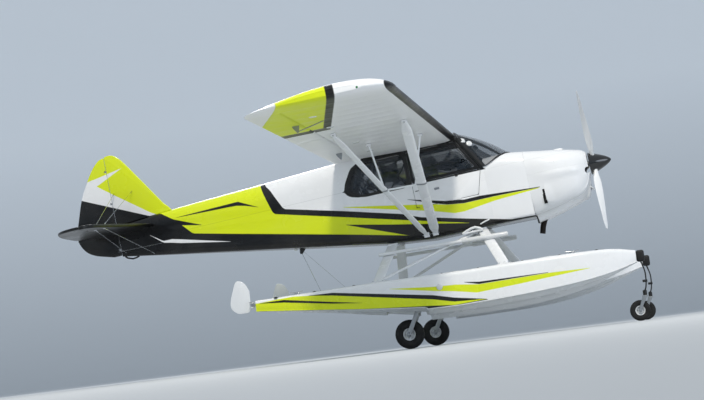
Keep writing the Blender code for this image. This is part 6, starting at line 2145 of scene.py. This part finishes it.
def makeSeats():
    for node, x, mark in (("seat_front", 1.2, "Front"), ("seat_rear", 0.36, "Rear")):
        pad = cushion("seatCushion" + mark, (-0.19, -0.2, -0.035), (0.19, 0.2, 0.035), math.radians(-4),
                      (x + 0.255, 0.0, -0.15))
        back = cushion("seatBack" + mark, (-0.03, -0.195, -0.255), (0.03, 0.195, 0.255), math.radians(-16),
                       (x - 0.005, 0.0, 0.09))
        for part in (pad, back):
            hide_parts(node)
        floor = floorHeight(x + 0.2)
        rails = []
        side = inside["seatY"]
        for y in (-side, side):
            rails.append([(x + 0.42, y, floor), (x + 0.44, y, -0.2), (x + 0.03, y, -0.205),
                          (x + 0.1, y, floor)])
            rails.append([(x + 0.03, y, -0.205), (x - 0.06, y, 0.15), (x - 0.11, y, 0.36)])
        rails += [[(x + dx, -side, z), (x + dx, side, z)] for dx, z in ((-0.11, 0.36), (0.43, -0.2))]
        fitted([tube("seatRail", rail, inside["railRadius"], 12) for rail in rails], blackTrim, node,
               name="seatFrame" + mark)


# Panel, sticks and trim. Dials: z, radius, y of each. Sticks and grips: distance along, height over the floor
panelSizes = {
    "dials": ((0.225, 0.04, (-0.2, -0.1, 0.0, 0.1, 0.2)), (0.125, 0.04, (-0.15, -0.05, 0.05, 0.15)),
              (0.045, 0.026, (-0.22, -0.15, 0.15, 0.22))),
    "behind": 0.03, "thickness": 0.02, "bottom": -0.02, "sticks": (1.52, 0.74),
    "stick": ((0.0, -0.004), (0.0, 0.06), (-0.05, 0.2), (-0.03, 0.42)), "stickRadius": 0.011,
    "grip": ((-0.033, 0.35), (-0.03, 0.4), (-0.022, 0.46)), "gripRadius": 0.019,
}


def makePanel():
    size = panelSizes
    x = cabin["frontX"] + size["behind"]
    outline = [spot for spot in hullRing(x, hullSizes(fuselage["boot"], x, 0.01))
               if spot.z > size["bottom"] - 0.01]
    rings = [[Vector((x + depth, spot.y, max(spot.z, size["bottom"]))) for spot in outline]
             for depth in (0.0, size["thickness"])]
    fitted(extrudeThrough("instrumentBoard", rings), panelPaint, "instrument_panel")
    dials, faces = [], []
    for y, z, radius in [(y, z, radius) for z, radius, row in size["dials"] for y in row]:
        bezel = [(radius, -0.002), (radius, -0.01), (radius * 0.9, -0.012), (radius * 0.84, -0.006),
                 (radius * 0.84, -0.002)]
        dials.append(ringClosed("bezel", bezel, (x, y, z), 28, "X"))
        faces.append(turned("face", [(0.0, -0.004), (radius * 0.86, -0.004)], (x, y, z), 28, "X"))
        faces.append(boxPiece("needle", (x - 0.006, y - 0.0015, z - 0.004),
                              (x - 0.0045, y + 0.0015, z + radius * 0.66), 0))
    fitted(dials, blackTrim, name="dialBezels")
    fitted(faces, dialFace, name="dialFaces")
    fitted(boxPiece("radioStack", (x - 0.018, -0.085, -0.015), (x + 0.004, 0.085, 0.078), 0.004), dialFace)
    brow = [[Vector((px, y, bootHeight(max(px, 1.91), y) - 0.022 - 0.1 * (1.93 - px)))
             for y in stations(-0.27, 0.27, 15)] for px in (x - 0.07, x - 0.03, x + 0.02)]
    sheet("glareShield", brow, 0.01, True)
    for number, sx in enumerate(size["sticks"]):
        floor = floorHeight(sx)
        rod, grip = ([(sx + dx, 0.0, floor + dz) for dx, dz in size[key]] for key in ("stick", "grip"))
        fitted([tube("controlStick", rod, size["stickRadius"], 14),
                tube("stickGrip", grip, size["gripRadius"], 16)],
               blackTrim, name=f"controlStick{number}")
    sheet("floorMat", [[Vector((px, y, floorHeight(px) + 0.004)) for y in stations(-0.3, 0.3, 7)]
                       for px in stations(0.08, 1.88, 19)], -0.005)
    sheet("baggageWall", [[Vector((0.055, y, z)) for y in stations(-0.315, 0.315, 9)]
                          for z in stations(-0.33, 0.2, 7)], 0.006)


def sheet(name, rows, thickness, even=False):
    piece = gridSkin(name, rows, closed=False, capped=False)
    fitted(walled(piece, thickness, even), seatCloth)


# Aerials, lamps, fuel caps and the two cables under the belly. Profiles are (radius, along the axis)
outer = {
    "aerialX": -0.664, "aerialSweep": 0.03, "aerialHalf": (0.045, 0.008),
    # Columns: share of the sweep, share of the width, z
    "aerial": ((0.0, 1.0, -0.262), (0.2, 0.9, -0.275), (0.9, 0.55, -0.315), (1.0, 0.3, -0.33)),
    "bellyLamp": ((0.0, -0.034), (0.014, -0.032), (0.026, -0.024), (0.032, -0.01), (0.033, 0.012)),
    "bellyLampAt": (-0.759, 0.0, -0.238), "cableTop": (-0.7, 0.03, -0.262), "cableFoot": (-0.26, 1.02),
    "tipLamp": ((0.0, 0.01), (0.01, 0.008), (0.016, 0.0), (0.017, -0.012)), "tipLampAt": (1.3, 5.215, 0.7),
    "fuelCap": ((0.0, 0.01), (0.02, 0.01), (0.03, 0.006), (0.036, 0.0), (0.036, -0.008)),
    "fuelCapAt": (1.16, 0.95),
    "pitot": ((1.18, 2.62, 0.0), (1.28, 2.62, -0.075), (1.31, 2.62, -0.085), (1.42, 2.62, -0.085)),
}


def makeAerials():
    size = outer
    long, wide = size["aerialHalf"]
    turns = [2 * math.pi * i / 20 for i in range(20)]
    blade = extrudeThrough("bellyAerial", [
        [Vector((size["aerialX"] - size["aerialSweep"] * k + long * s * math.cos(a),
                 wide * s * math.sin(a), z))
         for a in turns] for k, s, z in size["aerial"]])
    fitted(blade, blackTrim)
    fitted(turned("bellyLamp", size["bellyLamp"], size["bellyLampAt"], 28, "Z"), rimCoat)
    for sign, mark in ((1, "L"), (-1, "R")):
        x, y, z = size["cableTop"]
        footX, footY = size["cableFoot"]
        start = airToWorld @ Vector((x, sign * y, z))
        end = groundShift @ Vector((footX, sign * footY, floatDeck(footX) + 0.004))
        cable = tube("steeringCable" + mark, [start, start.lerp(end, 0.5), end], 0.0022, 8)
        finished(cable, "airframe", polishedSteel)
        lamp = turned("wingTipLamp" + mark, size["tipLamp"], wingLift @ Vector(size["tipLampAt"]), 20, "Y")
        if sign < 0:
            lamp.data.transform(Matrix.Diagonal((1.0, -1.0, 1.0, 1.0)))
            lamp.data.flip_normals()
        fitted(lamp, lampRed if sign > 0 else lampGreen)
    x, y = size["fuelCapAt"]
    spot = wingLift @ Vector((x, y, wingSkin(x, 1.0)))
    for sign, mark in ((1, "L"), (-1, "R")):
        cap = turned("fuelCap" + mark, size["fuelCap"], (spot.x, sign * spot.y, spot.z), 28, "Z")
        fitted(cap, polishedSteel)
    rise = underWing(*size["pitot"][0][:2]).z + 0.004
    fitted(tube("pitotTube", [(x, y, z + rise) for x, y, z in size["pitot"]], 0.007), polishedSteel)


makeCabinShell()
makeWindows()
makeDoors()
makeWindscreen()
makeRoof()
makeTubeFrame()
makeSeats()
makePanel()
makeAerials()
print("cabin is fitted out")


# The cowl hides the engine, which stays a plain block
dressed("engine_block", castAlloy)
print("engine is in place")
